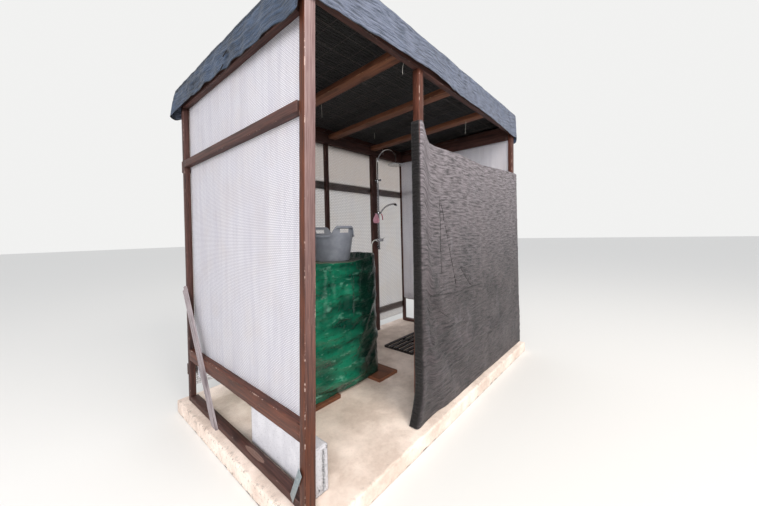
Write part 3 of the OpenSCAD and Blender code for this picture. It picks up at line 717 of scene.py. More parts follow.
@dataclass
class Member:
    """A straight timber, lofted along its grain inside its solid, with uneven rounded edges.

    Attributes:
        node: Solid that it stands for.
        along: Direction of its grain.
        finish: Its finish.
        edge_mm: Radius of its rounded edges.
        uneven_mm: How far its faces wander.
        station_mm: Distance between its sections.
    """
    node: str
    along: Along
    finish: Finish = STAINED
    edge_mm: float = 2.5
    uneven_mm: float = 0.7
    station_mm: float = 45.0
    # Points round a section, three at each corner
    RING = 12

    def build(self) -> None:
        """Loft the timber and give it its grain."""
        a = self.along.value
        b, c = [i for i in range(3) if i != a]
        (low0, high0), (low1, high1) = ends_of(self.node, a)
        length = low1[a] - low0[a]
        rng = random.Random(self.node)
        seed = rng.uniform(0, 50)
        count = max(4, round(length / (self.station_mm * MM)))
        chamfer = 1.6 * MM
        shares = [0.0, chamfer / length, *[i / count for i in range(1, count)], 1 - chamfer / length, 1.0]
        points: list[Vector] = []
        around: list[float] = []
        for number, share in enumerate(shares):
            low, high = low0.lerp(low1, share), high0.lerp(high1, share)
            middle = (low + high) / 2
            shrink = chamfer if number in (0, len(shares) - 1) else 0.0
            half_b, half_c = (high[b] - low[b]) / 2 - shrink, (high[c] - low[c]) / 2 - shrink
            around = []
            walked = 0.0
            for corner, (sb, sc) in enumerate(((-1, -1), (1, -1), (1, 1), (-1, 1))):
                tip = middle.copy()
                tip[b] += sb * half_b
                tip[c] += sc * half_c
                uneven = 1.0 + 0.6 * wobble(tip, 90, seed) + 0.5 * wobble(tip, 24, seed)
                radius = max(0.4 * MM, self.edge_mm * MM * uneven)
                for step in range(3):
                    turn = math.radians(180 + 90 * corner + 45 * step)
                    point = tip.copy()
                    point[b] += -sb * radius + radius * math.cos(turn)
                    point[c] += -sc * radius + radius * math.sin(turn)
                    drift = self.uneven_mm * MM * wobble(point, 420, seed + corner)
                    point[b] -= sb * abs(drift)
                    point[c] -= sc * abs(drift)
                    points.append(point)
                    around.append(walked)
                walked += 2 * (half_b if corner % 2 == 0 else half_c)
        piece = mesh_piece("timber_" + self.node, points, closed(len(shares), self.RING))
        lengths = [seed + share * length for share in shares]
        self.lay_grain(piece, lengths, seed, around, (2 * half_b, 2 * half_c))
        outward(piece)
        show(piece, self.finish, self.node)

    def lay_grain(self, piece: bpy.types.Object, lengths: Sequence[float], seed: float,
                  around: Sequence[float], widths: tuple[float, float]) -> None:
        """Write the grain map and the map of the share across each face and its width."""
        mesh = piece.data
        grain, across = (mesh.uv_layers.new(name=name) for name in ("grain", "across"))
        for face in mesh.polygons:
            side = face.index % self.RING
            for loop in face.loop_indices:
                vertex = mesh.loops[loop].vertex_index
                row, k = divmod(vertex, self.RING)
                if len(face.vertices) != 4:
                    place = mesh.vertices[vertex].co
                    grain.data[loop].uv = (seed + 0.05 * (place.x + place.y), seed + place.z + place.x)
                    across.data[loop].uv = (0.5, 0.04)
                    continue
                walked = 2 * sum(widths) if (side, k) == (self.RING - 1, 0) else around[k]
                grain.data[loop].uv = (lengths[row], seed * 3 + walked)
                # Only every third band is flat; the others round a corner
                across.data[loop].uv = (float(side % 3 == 2 and k != side), widths[side // 3 % 2])


@dataclass
class Slab:
    """The concrete slab: worn, chipped edges and a slightly uneven top.

    Attributes:
        cell_mm: Size of its mesh's cells.
        chip_mm: Deepest chip out of an edge.
    """
    cell_mm: float = 22.0
    chip_mm: float = 7.0

    def build(self) -> None:
        """Grow a gridded box and rub its edges inwards."""
        low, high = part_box("slab")
        mesh = gridded_box(low, high, self.cell_mm * MM, 12 * MM)
        edge_layer = mesh.verts.layers.float.new("edge")
        for v in mesh.verts:
            gaps = [min(v.co[i] - low[i], high[i] - v.co[i]) for i in range(3)]
            second = sorted(gaps)[1]
            left = max(0.35, 1 - (v.co.x - low.x) / 0.12)
            v[edge_layer] = max(0.0, 1 - second / 0.05) * left
            bite = max(0.0, 1 - second / (12 * MM))
            chips = max(0.0, wobble(v.co, 60, 3) - 0.05) * 2 + max(0.0, wobble(v.co, 18, 8)) * 0.8
            depth = bite * (2.2 + self.chip_mm * min(1.0, chips)) * MM
            for i in range(3):
                if gaps[i] < 1e-6:
                    outwards = 1 if v.co[i] > (low[i] + high[i]) / 2 else -1
                    inner = depth + 0.5 * MM * (1 + wobble(v.co, 150, i))
                    v.co[i] -= 0.0 if i == 2 and outwards < 0 else outwards * inner
        show(from_bmesh("slab_concrete", mesh), CONCRETE, "slab")


@dataclass(frozen=True)
class Settling:
    """How a cloth is let settle.

    Attributes:
        frames: Steps of the simulation.
        slack: Share by which the cloth is larger than its first shape.
        gravity: Share of real gravity.
        bending: Stiffness against folding.
        cap_mm: Farthest that a point may move.
        mass: Mass of a point.
        tension: Stiffness against stretching.
    """
    frames: int
    slack: float
    gravity: float
    bending: float
    cap_mm: float
    mass: float = 0.25
    tension: float = 25.0


def settle(piece: bpy.types.Object, held: Callable[[Vector], float], how: Settling,
           outwards: Callable[[Vector], Vector] | None = None, room_mm: float = 5.0) -> None:
    """Simulate a cloth in place and keep the result in its mesh.

    Args:
        piece: The cloth as one layer of mesh.
        held: Gives how firmly a point is held, from 0 to 1.
        how: The simulation's values.
        outwards: Gives the direction away from what is behind the cloth.
        room_mm: Farthest that a point may move against that direction.
    """
    group = piece.vertex_groups.new(name="held")
    for vertex in piece.data.vertices:
        group.add([vertex.index], held(vertex.co), "REPLACE")
    cloth = piece.modifiers.new("settle", "CLOTH")
    configure(cloth.settings, quality=6, mass=how.mass, tension_stiffness=how.tension,
              compression_stiffness=how.tension, shear_stiffness=how.tension * 0.4,
              bending_stiffness=how.bending, air_damping=3.0, vertex_group_mass="held",
              shrink_min=-how.slack, shrink_max=-how.slack)
    cloth.settings.effector_weights.gravity = how.gravity
    cloth.collision_settings.use_collision = False
    configure(cloth.point_cache, frame_start=1, frame_end=how.frames)
    for step in range(1, how.frames + 1):
        bpy.context.scene.frame_set(step)
    result = piece.evaluated_get(bpy.context.evaluated_depsgraph_get()).data
    cap = how.cap_mm * MM
    moved = []
    for before, after in zip(piece.data.vertices, result.vertices):
        step = after.co - before.co
        step = step if step.length <= cap else step * (cap / step.length)
        if outwards is not None:
            away = outwards(before.co)
            step -= away * min(0.0, step.dot(away) + room_mm * MM)
        moved.append(before.co + step)
    piece.modifiers.clear()
    piece.vertex_groups.clear()
    move(piece.data, moved)
    bpy.context.scene.frame_set(1)


def sheet_grid(name: str, across: int, up: int, place: Callable[[float, float], Vector],
               flat: tuple[float, float]) -> bpy.types.Object:
    """Make a gridded sheet with its cloth map in metres.

    Args:
        name: Name of the piece.
        across: Cells along its first direction.
        up: Cells along its second direction.
        place: Gives the place of a share along each direction.
        flat: Cut size in metres.

    Returns:
        The sheet as one layer.
    """
    points = [place(i / across, j / up) for j in range(up + 1) for i in range(across + 1)]
    row = across + 1
    faces = [(j * row + i, j * row + i + 1, (j + 1) * row + i + 1, (j + 1) * row + i)
             for j in range(up) for i in range(across)]
    piece = mesh_piece(name, points, faces)
    lay_map(piece, "cloth", lambda k: (k % row / across * flat[0], k // row / up * flat[1]))
    return piece


def refine(piece: bpy.types.Object, levels: int, push: Callable[[Vector, Vector], Vector]) -> None:
    """Subdivide a cloth, then move each point by what push gives for its place and normal."""
    finer = piece.modifiers.new("finer", "SUBSURF")
    configure(finer, levels=levels, render_levels=levels, boundary_smooth="PRESERVE_CORNERS",
              use_limit_surface=False)
    mesh = bake(piece)
    move(mesh, [v.co + push(v.co.copy(), v.normal.copy()) for v in mesh.vertices])


def thicken(piece: bpy.types.Object, thickness_mm: float) -> None:
    """Give a cloth its thickness."""
    configure(piece.modifiers.new("thickness", "SOLIDIFY"), thickness=thickness_mm * MM, offset=0.0)


def steps_between(low: float, high: float, cell: float, rim: float) -> list[float]:
    """Places from low to high about a cell apart, with two close ones at each end."""
    count = max(2, round((high - low) / cell))
    inner = [low + (high - low) * i / count for i in range(1, count)]
    return [low, low + rim / 3, low + rim, *[v for v in inner if low + rim < v < high - rim], high - rim,
            high - rim / 3, high]


def gridded_box(low: Vector, high: Vector, cell: float, rim: float,
                extra: dict[int, Sequence[float]] | None = None) -> bmesh.types.BMesh:
    """Make a box whose faces are grids.

    Args:
        low: Lowest corner.
        high: Highest corner.
        cell: Size of the cells.
        rim: Width of the narrow cells at the edges.
        extra: More places along an axis, by the axis' number.

    Returns:
        The box as a mesh in the making.
    """
    extra = extra or {}
    stops = [sorted({*steps_between(low[i], high[i], cell, rim), *extra.get(i, ())}) for i in range(3)]
    mesh = bmesh.new()
    made: dict[tuple[int, ...], bmesh.types.BMVert] = {}

    def vertex(key: tuple[int, ...]) -> bmesh.types.BMVert:
        """Point at a place of the grid, made on its first call."""
        if key not in made:
            made[key] = mesh.verts.new([stops[i][key[i]] for i in range(3)])
        return made[key]

    for axis in range(3):
        b, c = (axis + 1) % 3, (axis + 2) % 3
        for side in (0, len(stops[axis]) - 1):
            for j in range(len(stops[b]) - 1):
                for k in range(len(stops[c]) - 1):
                    corners = []
                    for dj, dk in ((0, 0), (1, 0), (1, 1), (0, 1)):
                        key = [0, 0, 0]
                        key[axis], key[b], key[c] = side, j + dj, k + dk
                        corners.append(vertex(tuple(key)))
                    mesh.faces.new(corners if side else corners[::-1])
    return mesh


def from_bmesh(name: str, mesh: bmesh.types.BMesh) -> bpy.types.Object:
    """Turn a mesh in the making into an object."""
    mesh.normal_update()
    data = bpy.data.meshes.new(name)
    mesh.to_mesh(data)
    mesh.free()
    return placed(name, data)


@dataclass
class WallSheet:
    """A wall of ribbed sheeting, stapled inside the rails, slack between them.

    Attributes:
        node: Solid that it stands for.
        axis: Number of the axis that the sheet stands square to.
        rails_mm: Heights at which it is stapled.
        finish: Its finish.
        cell_mm: Size of its mesh's cells.
        slack_mm: How far it ripples.
        seed: Seed of its ripples.
        wander_mm: How far its far edge wanders from a straight line.
    """
    node: str
    axis: int
    rails_mm: tuple[float, ...]
    finish: Finish = SHEETING
    cell_mm: float = 16.0
    slack_mm: float = 4.0
    seed: float = 1.0
    wander_mm: float = 0.0

    def build(self) -> None:
        """Lay the grid and let it ripple between its staples."""
        low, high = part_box(self.node)
        run = 1 - self.axis
        width, height = high[run] - low[run], high.z - low.z
        middle = (low[self.axis] + high[self.axis]) / 2
        foot, head = ends_of(self.node, 2)

        def place(u: float, v: float) -> Vector:
            """Point on the sheet, whose ends lean with the posts."""
            z = low.z + v * height
            start, end = (a[run] * (1 - v) + b[run] * v for a, b in zip(foot, head))
            spot = Vector((0, 0, z))
            ragged = self.wander_mm * MM * u ** 8 * (1 + wobble(spot, 190, self.seed))
            spot[run] = start + u * (end - start) - ragged
            level = (z - CORNER.z) / MM
            free = min(1.0, min(abs(level - r) for r in self.rails_mm) / 160)
            side = min(1.0, min(u, 1 - u) * width / 0.12)
            ripple = (0.55 * wobble(Vector((spot[run], z * 0.45, 0)), 210, self.seed)
                      + 0.45 * wobble(Vector((spot[run] * 0.5, z, 4)), 90, self.seed)
                      + 0.35 * wobble(Vector((spot[run] + z, spot[run] - z, 9)), 150, self.seed))
            spot[self.axis] = middle + ripple * self.slack_mm * MM * (0.25 + 0.75 * free * side)
            return spot

        across, up = (round(size / (self.cell_mm * MM)) for size in (width, height))
        piece = sheet_grid("cloth_" + self.node, across, up, place, (width, height))
        thicken(piece, 1.2)
        show(piece, self.finish, self.node)


@dataclass
class FrontScreen:
    """The dark screen across the front: nailed at its top edge and round the door post, loose below.

    Attributes:
        cells_mm: Size of its mesh's cells across and up.
        top: Height of its top edge along the front, in millimetres.
        creases: Height and half width of each crease, and its line across the front, in millimetres.
        torn: Lines of its slits, where dark yarns are laid as painted shade, in millimetres.
        settling: How it settles.
    """
    cells_mm: tuple[float, float] = (30.0, 14.0)
    top: Line = ((945, 2138), (1034, 2144), (1050, 2040), (1075, 2001), (1191, 1989), (1567, 2004),
                 (2022, 1984), (2994, 2033), (3054, 2028))
    creases: tuple[tuple[float, float, Line], ...] = (
        (15, 11, ((929, 881), (1100, 895), (1458, 861), (1600, 872), (1962, 867))),
        (-7, 12, ((1233, 1616), (1223, 1043))), (-7, 12, ((1287, 1441), (1459, 894))),
        (-6, 12, ((1538, 1050), (1723, 873))), (-5, 12, ((1180, 753), (1299, 682))),
        (18, 26, ((940, 520), (1411, 617), (1688, 587))), (18, 28, ((940, 400), (1525, 397), (2401, 386))),
        (9, 18, ((906, 645), (1175, 649))), (10, 22, ((940, 250), (1500, 290), (2000, 230))),
        (-8, 30, ((960, 470), (1480, 500), (2100, 480))), (8, 20, ((2100, 330), (2700, 520))))
    torn: tuple[Line, ...] = (
        ((1233, 1616), (1229, 1300), (1223, 1043)), ((1250, 1560), (1287, 1441), (1459, 894)),
        ((1538, 1050), (1723, 873)), ((1180, 753), (1299, 682)))
    settling: Settling = Settling(frames=20, slack=0.003, gravity=0.2, bending=2.0, cap_mm=12.0)

    def build(self) -> None:
        """Lay the cloth over its solid, fold it round the door post, let it settle and crinkle it."""
        low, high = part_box("front_screen")
        left_foot, left_top = (left.x for left, _ in ends_of("front_screen", 2))
        fold, front_y = high.y - low.y, low.y
        width, height = high.x - left_foot, high.z - low.z

        def top_at(x: float) -> float:
            """Height of the top edge, in metres."""
            return at(0, 0, level_at(self.top, (x - CORNER.x) / MM)).z

        def place(u: float, v: float) -> Vector:
            """Point on the cloth, which starts with the fold round the door post."""
            left = left_foot + (left_top - left_foot) * v
            run = u * (fold + width)
            across = left + max(0.0, run - fold) / width * (high.x + 0.005 * math.sin(v * 9) - left)
            z = low.z + v * (top_at(across) - low.z)
            z += 4 * MM * v * wobble(Vector((across, v, 0)), 60, 3)
            # Its lower left corner flares outwards
            flare = 80 * MM * max(0.0, 1 - (z - low.z) / 0.26) ** 1.5
            flare *= max(0.0, 1 - max(0.0, run - fold) / 0.2)
            if run < fold:
                return Vector((left + 1.5 * MM - flare, front_y + fold - run, z))
            return Vector((across - flare, front_y + 1.5 * MM, z))

        across, up = (round(size / (cell * MM)) for size, cell in zip((fold + width, height), self.cells_mm))
        piece = sheet_grid("cloth_front_screen", across, up, place, (fold + width, height))

        def held(co: Vector) -> float:
            """Firmly at its fold, right edge and top, a little along its foot."""
            if co.y > front_y + fold - 0.03 or co.x > high.x - 0.02 or co.z > top_at(co.x) - 0.03:
                return 1.0
            if co.x < left_top + 0.01 and co.z > low.z + 0.2:
                return 0.9
            return 0.12 if co.z < low.z + 0.04 else 0.02

        def crinkled(co: Vector, normal: Vector) -> Vector:
            """Fine level crinkles, broad billows and the photographed creases."""
            x, _, z = on_hut(co)
            if co.y > front_y + 0.015:
                return Vector((1.5 * MM * wobble(Vector((co.y, co.z, 1)), 40, 2), 0, 0))
            free = min(1.0, (co.x - left_foot + 0.02) / 0.15)
            out = creased(self.creases, x, z)
            for depth, stretch, level, size, seed in (
                    (3.0, 0.17, 0, 19, 5), (3.0, 0.3, 0, 42, 6), (5.0 * free, 0.6, 2, 260, 7)):
                out += depth * wobble(Vector((co.x * stretch, co.z, level)), size, seed)
            return Vector((0, -(out + 2) * MM * max(0.3, free), 0))

        settle(piece, held, self.settling)
        refine(piece, 1, crinkled)
        for vertex in piece.data.vertices:
            vertex.co.z = max(vertex.co.z, low.z)
        self.slit_shade_yarns(piece)
        thicken(piece, 1.4)
        show(piece, SCREEN_CLOTH, "front_screen")

    def slit_shade_yarns(self, cloth: bpy.types.Object) -> None:
        """Lay a dark yarn along each slit, on the cloth's own surface, as painted shade."""
        face_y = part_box("front_screen")[0].y + 0.02
        front = [v.co.copy() for v in cloth.data.vertices if v.co.y < face_y]
        lines = []
        for line in self.torn:
            points = []
            for (x0, z0), (x1, z1) in zip(line, line[1:]):
                for share in (k / 8 for k in range(9)):
                    spot = at(x0 + (x1 - x0) * share, 0, z0 + (z1 - z0) * share)
                    near = min(front, key=lambda co: (co.x - spot.x) ** 2 + (co.z - spot.z) ** 2)
                    points.append(Vector((spot.x, near.y - 1.5 * MM, spot.z)))
            lines.append(points)
        wires("screen_pulled_yarns", lines, 2.2, 5, BLACK_YARN)


@dataclass
class RoofCover:
    """The roof's fabric cover: stapled over the frame, with a loose, ragged skirt on each side.

    Attributes:
        cell_mm: Size of its mesh's cells.
        rows: Cells down each skirt.
        front_hem: Height of the front hem along the front, in millimetres.
        front_gap: How far the front hem stands off along the front, in millimetres.
        left_hem: Height of the left hem from the front to the back, in millimetres.
        bulge_mm: How far the cloth's rear left corner stands out.
        side_z: Height of its left and right edges on the top rails, in millimetres.
        creases: Height and half width of each crease of the left skirt, and its line, in millimetres.
        settling: How it settles.
    """
    cell_mm: float = 30.0
    rows: int = 9
    front_hem: Line = ((0, 2470), (890, 2505), (1130, 2520), (1450, 2494), (1880, 2492), (2570, 2468),
                       (3000, 2452))
    front_gap: Line = ((0, 8), (420, 22), (900, 34), (1200, 30), (1600, 20), (2300, 24), (3000, 12))
    left_hem: Line = ((-22, 2372), (197, 2388), (933, 2411), (1531, 2420), (1650, 2394), (1742, 2350))
    bulge_mm: float = 55.0
    side_z: float = 2612.0
    creases: tuple[tuple[float, float, Line], ...] = (
        (7, 14, ((226, 2464), (477, 2482), (898, 2511), (1488, 2513))), (-8, 12, ((715, 2478), (760, 2462))),
        (-6, 10, ((770, 2415), (800, 2400))))
    settling: Settling = Settling(frames=22, slack=0.006, gravity=0.6, bending=1.0, cap_mm=12.0)

    def build(self) -> None:
        """Fold one cloth over the roof and down its four sides."""
        low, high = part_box("roof_cover")
        beam_top, plate_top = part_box("beam_front")[1].z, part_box("plate_back")[1].z
        cell, rows = self.cell_mm * MM, self.rows
        nx, ny = round((high.x - low.x) / cell), round((high.y - low.y) / cell)

        def top_z(y: float) -> float:
            """Height of the sloping top."""
            share = (y - low.y) / (high.y - low.y)
            return (beam_top + 5 * MM) * (1 - share) + (plate_top + 7 * MM) * share

        def spot(i: int, j: int) -> tuple[Vector, tuple[float, float]]:
            """Place of a grid point, and its place on the flat cloth."""
            side = Vector((-1 if i < 0 else int(i > nx), -1 if j < 0 else int(j > ny), 0))
            out = max(-i, i - nx, -j, j - ny, 0)
            x = low.x + min(max(i, 0), nx) / nx * (high.x - low.x)
            y = low.y + min(max(j, 0), ny) / ny * (high.y - low.y)
            place, drop = Vector((x, y, top_z(y))), out / rows
            # Behind the beam the cloth's sides fall to the top rails
            behind = min(1.0, max(0.0, (y - low.y - 0.07) / 0.12))
            near = max(0.0, 1 - min(x - low.x, high.x - x) / 0.35)
            place.z -= max(0.0, place.z - at(0, 0, self.side_z).z) * eased(behind) * near ** 2
            place.z -= 26 * MM * behind * (side.x != 0 or i in (0, nx))
            x_mm, y_mm = (x - CORNER.x) / MM, (y - CORNER.y) / MM
            if not out:
                inside = inset(place, (low, high))
                place.z -= 3 * MM * min(1.0, inside / 0.2) * (1 + wobble(Vector((x, y, 0)), 130, 4))
                return place, (x, y)
            corner = math.exp(-math.hypot(x - low.x, high.y - y) / 0.13)
            if side.y < 0:
                hem, gap = level_at(self.front_hem, x_mm), level_at(self.front_gap, x_mm)
            elif side.x < 0:
                hem, gap = level_at(self.left_hem, y_mm), 6.0
            else:
                hem, gap = 2404 + 9 * wobble(place, 160, 2) - 54 * corner, 8.0
            hem += 7 * wobble(Vector((x, y, 3)), 50, 7) + 4 * wobble(Vector((x, y, 3)), 21, 9)
            gap = (gap + self.bulge_mm * corner) * drop ** 0.8
            along = Vector((x + y, y - x, place.z - 0.3 * drop))
            ripple = 4 * wobble(along, 240, 3) + 1.5 * wobble(Vector((x + y, 0, 0.5 * drop)), 60, 8)
            gap += ripple * min(1.0, 1.6 * drop)
            place.z += (at(0, 0, hem).z - place.z) * drop
            return place + side * (gap * MM), (y, place.z) if side.x else (x, y - out * cell)

        spots = {(i, j): spot(i, j) for i in range(-rows, nx + rows + 1) for j in range(-rows, ny + rows + 1)
                 if 0 <= i <= nx or 0 <= j <= ny}
        index = {key: number for number, key in enumerate(spots)}
        faces = [[index[key] for key in around] for around in
                 ([(i, j), (i + 1, j), (i + 1, j + 1), (i, j + 1)] for i, j in spots)
                 if all(key in index for key in around)]
        for (si, ci), (sj, cj), k in product(((-1, 0), (1, nx)), ((-1, 0), (1, ny)), range(rows)):
            quad = [(ci + si * k, cj), (ci + si * (k + 1), cj), (ci, cj + sj * (k + 1)), (ci, cj + sj * k)]
            faces.append([index[key] for key in quad[:4 if k else 3]])
        piece = mesh_piece("cloth_roof_cover", [place for place, _ in spots.values()], faces)
        flat = [uv for _, uv in spots.values()]
        lay_map(piece, "cloth", lambda k: flat[k])
        outward(piece)

        def held(co: Vector) -> float:
            """Firmly along the top's edges."""
            return 1.0 if -0.001 < inset(co, (low, high)) < 0.05 else 0.03

        def crinkled(co: Vector, normal: Vector) -> Vector:
            """Crinkles and billows everywhere, creases on the left skirt."""
            out = 2.0 * wobble(co, 55, 1) + 1.6 * wobble(Vector((co.x * 0.4, co.y * 0.4, co.z)), 34, 2)
            out += 3.0 * wobble(Vector((co.x, co.y, co.z * 2)), 190, 3)
            if normal.x < -0.5:
                out += creased(self.creases, *on_hut(co).yz)
            return normal * (out * MM * (0.5 if normal.z > 0.8 else 1.0))

        settle(piece, held, self.settling)
        refine(piece, 1, crinkled)
        thicken(piece, 1.6)
        show(piece, COVER_CLOTH, "roof_cover")
        # Dark yarns laid in two slits of the left skirt, as painted shade
        slits = [[at(-34, y + k * dy, z - k * 3) for k in range(6)]
                 for y, z, dy in ((712, 2480, 11), (768, 2417, 8))]
        wires("roof_cover_slits", slits, 3.5, 6, BLACK_YARN)


@dataclass
class TankCover:
    """The tarpaulin round the tank: tied at the rim, slumped in level folds, with a sunken top.

    Attributes:
        around_cells: Cells round its wall.
        up_cells: Cells up its wall.
        rim: Height of its rim along the front, in millimetres.
        girth: Its girth in metres on the flat cloth.
        box: Corners of its solid.
        settling: How it settles.
    """
    around_cells: int = 168
    up_cells: int = 50
    rim: Line = ((345, 1126), (630, 1129), (820, 1108), (1010, 1101), (1200, 1124), (1370, 1166))
    girth: float = 3.6
    box: tuple[Vector, Vector] = field(default_factory=lambda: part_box("tank_cover"))
    settling: Settling = Settling(frames=26, slack=0.035, gravity=0.5, bending=0.25, cap_mm=24.0)

    def outline(self, share: float, out: float) -> Vector:
        """Place on the cover's outline, a rectangle with round corners, at a share of its girth."""
        low, high = self.box
        radius = 0.124 - out
        arc = math.pi / 2 * radius
        straights = [size - 2 * out - 2 * radius for size in (high.x - low.x, high.y - low.y)] * 2
        walk = share * (sum(straights) + 4 * arc)
        spot, ahead = Vector((low.x + out + radius, low.y + out, 0)), RIGHT
        for straight in straights:
            left = UP.cross(ahead)
            if walk <= straight:
                return spot + ahead * walk
            walk -= straight
            spot += ahead * straight
            if walk <= arc:
                turn = walk / radius
                return spot + (ahead * math.sin(turn) + left * (1 - math.cos(turn))) * radius
            walk -= arc
            spot += (ahead + left) * radius
            ahead = left
        return spot

    def on_wall(self, u: float, v: float, middle: Vector) -> Vector:
        """Place on the wall at a share round it and a share up it, with its sagging folds."""
        spot = self.outline(u, 5 * MM)
        away = Vector((spot.x - middle.x, spot.y - middle.y, 0)).normalized()
        top = at(0, 0, level_at(self.rim, (spot.x - CORNER.x) / MM) + 5 * wobble(spot, 90, 2)).z
        foot = at(0, 0, 37 + 5 * wobble(spot, 200, 9)).z
        z = foot + v * (top - foot)
        # Folds sag round the tank in long level swags, more towards the foot
        swag = wobble(Vector((spot.x * 0.4, spot.y * 0.4, z * 1.1)), 105, 4) + 0.15
        swell = 26 * max(0.0, swag) * (1 - 0.45 * v) + 4 * wobble(Vector((spot.x, spot.y, z * 2)), 80, 6)
        spot += away * (max(0.0, swell) * MM * min(1.0, (1 - v) * 9) + 8 * MM * (1 - v) ** 4)
        return Vector((spot.x, spot.y, z))

    def build(self) -> None:
        """Wrap the wall, sink the top, let the cloth slump and cut the outlet's slit."""
        low, high = self.box
        height, tank_top = high.z - low.z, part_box("tank")[1].z
        n, m, rings, slices = self.around_cells, self.up_cells, 7, 5
        middle = Vector(((low.x + high.x) / 2, (low.y + high.y) / 2, tank_top + 8 * MM))
        rows = [[self.on_wall(i / n, j / m, middle) for i in range(n)] for j in range(m + 1)]
        for k in range(1, rings + 1):
            share = eased(k / 4)
            row = [self.outline(i / n, (5 + 9 * k) * MM) for i in range(n)]
            for spot, wall in zip(row, rows[m]):
                spot.z = wall.z * (1 - share) + (middle.z + 3 * MM * wobble(spot, 140, 1)) * share
            rows.append(row)
        for k in range(1, slices + 1):
            row = [spot.lerp(middle, k / (slices + 0.5)) for spot in rows[m + rings]]
            for spot in row:
                spot.z = tank_top + (7 + 3 * wobble(Vector((spot.x, spot.y, 0)), 170, 5)) * MM
            rows.append(row)
        last = (len(rows) - 1) * n
        piece = mesh_piece("cloth_tank_cover", [spot for row in rows for spot in row],
                           [*bands(len(rows), n), tuple(range(last, last + n))])
        cloth = piece.data.uv_layers.new(name="cloth")
        for face in piece.data.polygons:
            upright = max(face.vertices) < (m + 1) * n
            wraps = any(k % n == n - 1 for k in face.vertices)
            for loop, vertex in zip(face.loop_indices, face.vertices):
                co, i = piece.data.vertices[vertex].co, vertex % n
                around = (n if wraps and i == 0 else i) / n
                cloth.data[loop].uv = (around * self.girth, co.z) if upright else (co.x, co.y)

        def held(co: Vector) -> float:
            """Firmly on the tank's top, well at the rim, a little along its foot."""
            if inset(co, self.box) > 0.02:
                return 1.0
            if co.z > high.z - 0.09:
                return 0.8
            return 0.06 if co.z > low.z + 0.05 else 0.25

        def outwards(co: Vector) -> Vector:
            """Away from the tank's nearest wall, or up from its top."""
            if inset(co, self.box) > 0.02:
                return UP
            return Vector((co.x - min(max(co.x, low.x + 0.13), high.x - 0.13),
                           co.y - min(max(co.y, low.y + 0.13), high.y - 0.13), 0)).normalized()

        settle(piece, held, self.settling, outwards, 3.0)
        self.cut_slit(piece)
        refine(piece, 1, lambda co, normal: normal * (
            1.5 * MM * max(0.0, wobble(Vector((co.x * 0.7, co.y * 0.7, co.z * 1.3)), 36, 2))
            + 2.5 * MM * max(0.0, 0.5 - 3 * abs(wobble(Vector((co.x * 0.6, co.y * 0.6, co.z)), 85, 5)))))
        thicken(piece, 1.4)
        show(piece, TARPAULIN, "tank_cover")

    @staticmethod
    def cut_slit(piece: bpy.types.Object) -> None:
        """Open the cloth below and round the tank's outlet."""
        stub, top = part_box("tank")[1], at(0, 1416, 158)
        with edited(piece) as mesh:
            middles = [(face, face.calc_center_median()) for face in mesh.faces]
            gone = [face for face, middle in middles
                    if middle.x > stub.x - 0.075 and abs(middle.y - top.y) < 0.03 and middle.z < top.z]
            bmesh.ops.delete(mesh, geom=gone, context="FACES")


@dataclass
class WashTub:
    """The flexible tub on the tank: a thin tapered wall, a turned rim and two raised handles.

    Attributes:
        foot_mm: Radius of its foot.
        rim_mm: Radius of its rim.
        height_mm: Height of its rim.
        handle_mm: Rise of its handles over the rim.
        handles_deg: Direction of each handle.
        slot_deg: Half the width of a handle's slot.
        sides: Points round a ring.
    """
    foot_mm: float = 172.0
    rim_mm: float = 212.0
    height_mm: float = 245.0
    handle_mm: float = 85.0
    handles_deg: tuple[float, float] = (-95.0, 85.0)
    slot_deg: float = 14.0
    sides: int = 96

    def off(self, angle: float) -> float:
        """Degrees from the middle of the nearer handle."""
        return min(abs((angle - middle + 180) % 360 - 180) for middle in self.handles_deg)

    def lift(self, angle: float) -> float:
        """Share of the handle's full height at an angle, in degrees."""
        return eased((41 - self.off(angle)) / 20)

    def build(self) -> None:
        """Loft the wall up to the rim, cut the slots and give it its thickness."""
        low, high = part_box("tub")
        centre = Vector(((low.x + high.x) / 2, (low.y + high.y) / 2, low.z))
        slope = (self.rim_mm - self.foot_mm) / self.height_mm

        def row(shape: Callable[[float], tuple[float, float]]) -> list[Vector]:
            """Ring of points, its radius and height made from the rim's height over each."""
            made = []
            for angle in (360 * k / self.sides for k in range(self.sides)):
                radius, z = shape(self.height_mm + self.handle_mm * self.lift(angle))
                turn = math.radians(angle)
                made.append(centre + Vector((radius * math.cos(turn), radius * math.sin(turn), z)) * MM)
            return made

        def wall(level: float, top: float) -> tuple[float, float]:
            """Radius and height at a level from 0 at the foot to 1 at the rim."""
            z = 4 + level * (top - 4)
            return self.foot_mm - 4 + slope * z - (0 if level > 0.02 else 3), z

        rows = [row(lambda top: flat) for flat in ((3, 3.0), (60, 3.5), (self.foot_mm - 16, 2.5))]
        rows += [row(lambda top: wall(level, top))
                 for level in (0.0, 0.015, 0.05, 0.15, 0.3, 0.45, 0.6, 0.72, 0.815, 0.872, 0.93, 0.97, 1.0)]
        # The rim turns out and down
        rows += [row(lambda top: (self.foot_mm - 4 + slope * top + out, top - down))
                 for out, down in ((5, -2), (11, 1), (14, 8), (13, 17))]
        n, slot_rows = self.sides, (11, 12)
        faces = [face for number, face in enumerate(bands(len(rows), n))
                 if number // n not in slot_rows or self.off(360 * (number % n + 0.5) / n) >= self.slot_deg]
        faces.append(tuple(range(n - 1, -1, -1)))
        piece = mesh_piece("tub_shell", [point for ring in rows for point in ring], faces)
        outward(piece)
        thicken(piece, 3.5)
        configure(piece.modifiers.new("round", "BEVEL"), width=0.8 * MM, segments=2, limit_method="ANGLE")
        show(piece, TUB_WALL, "tub")


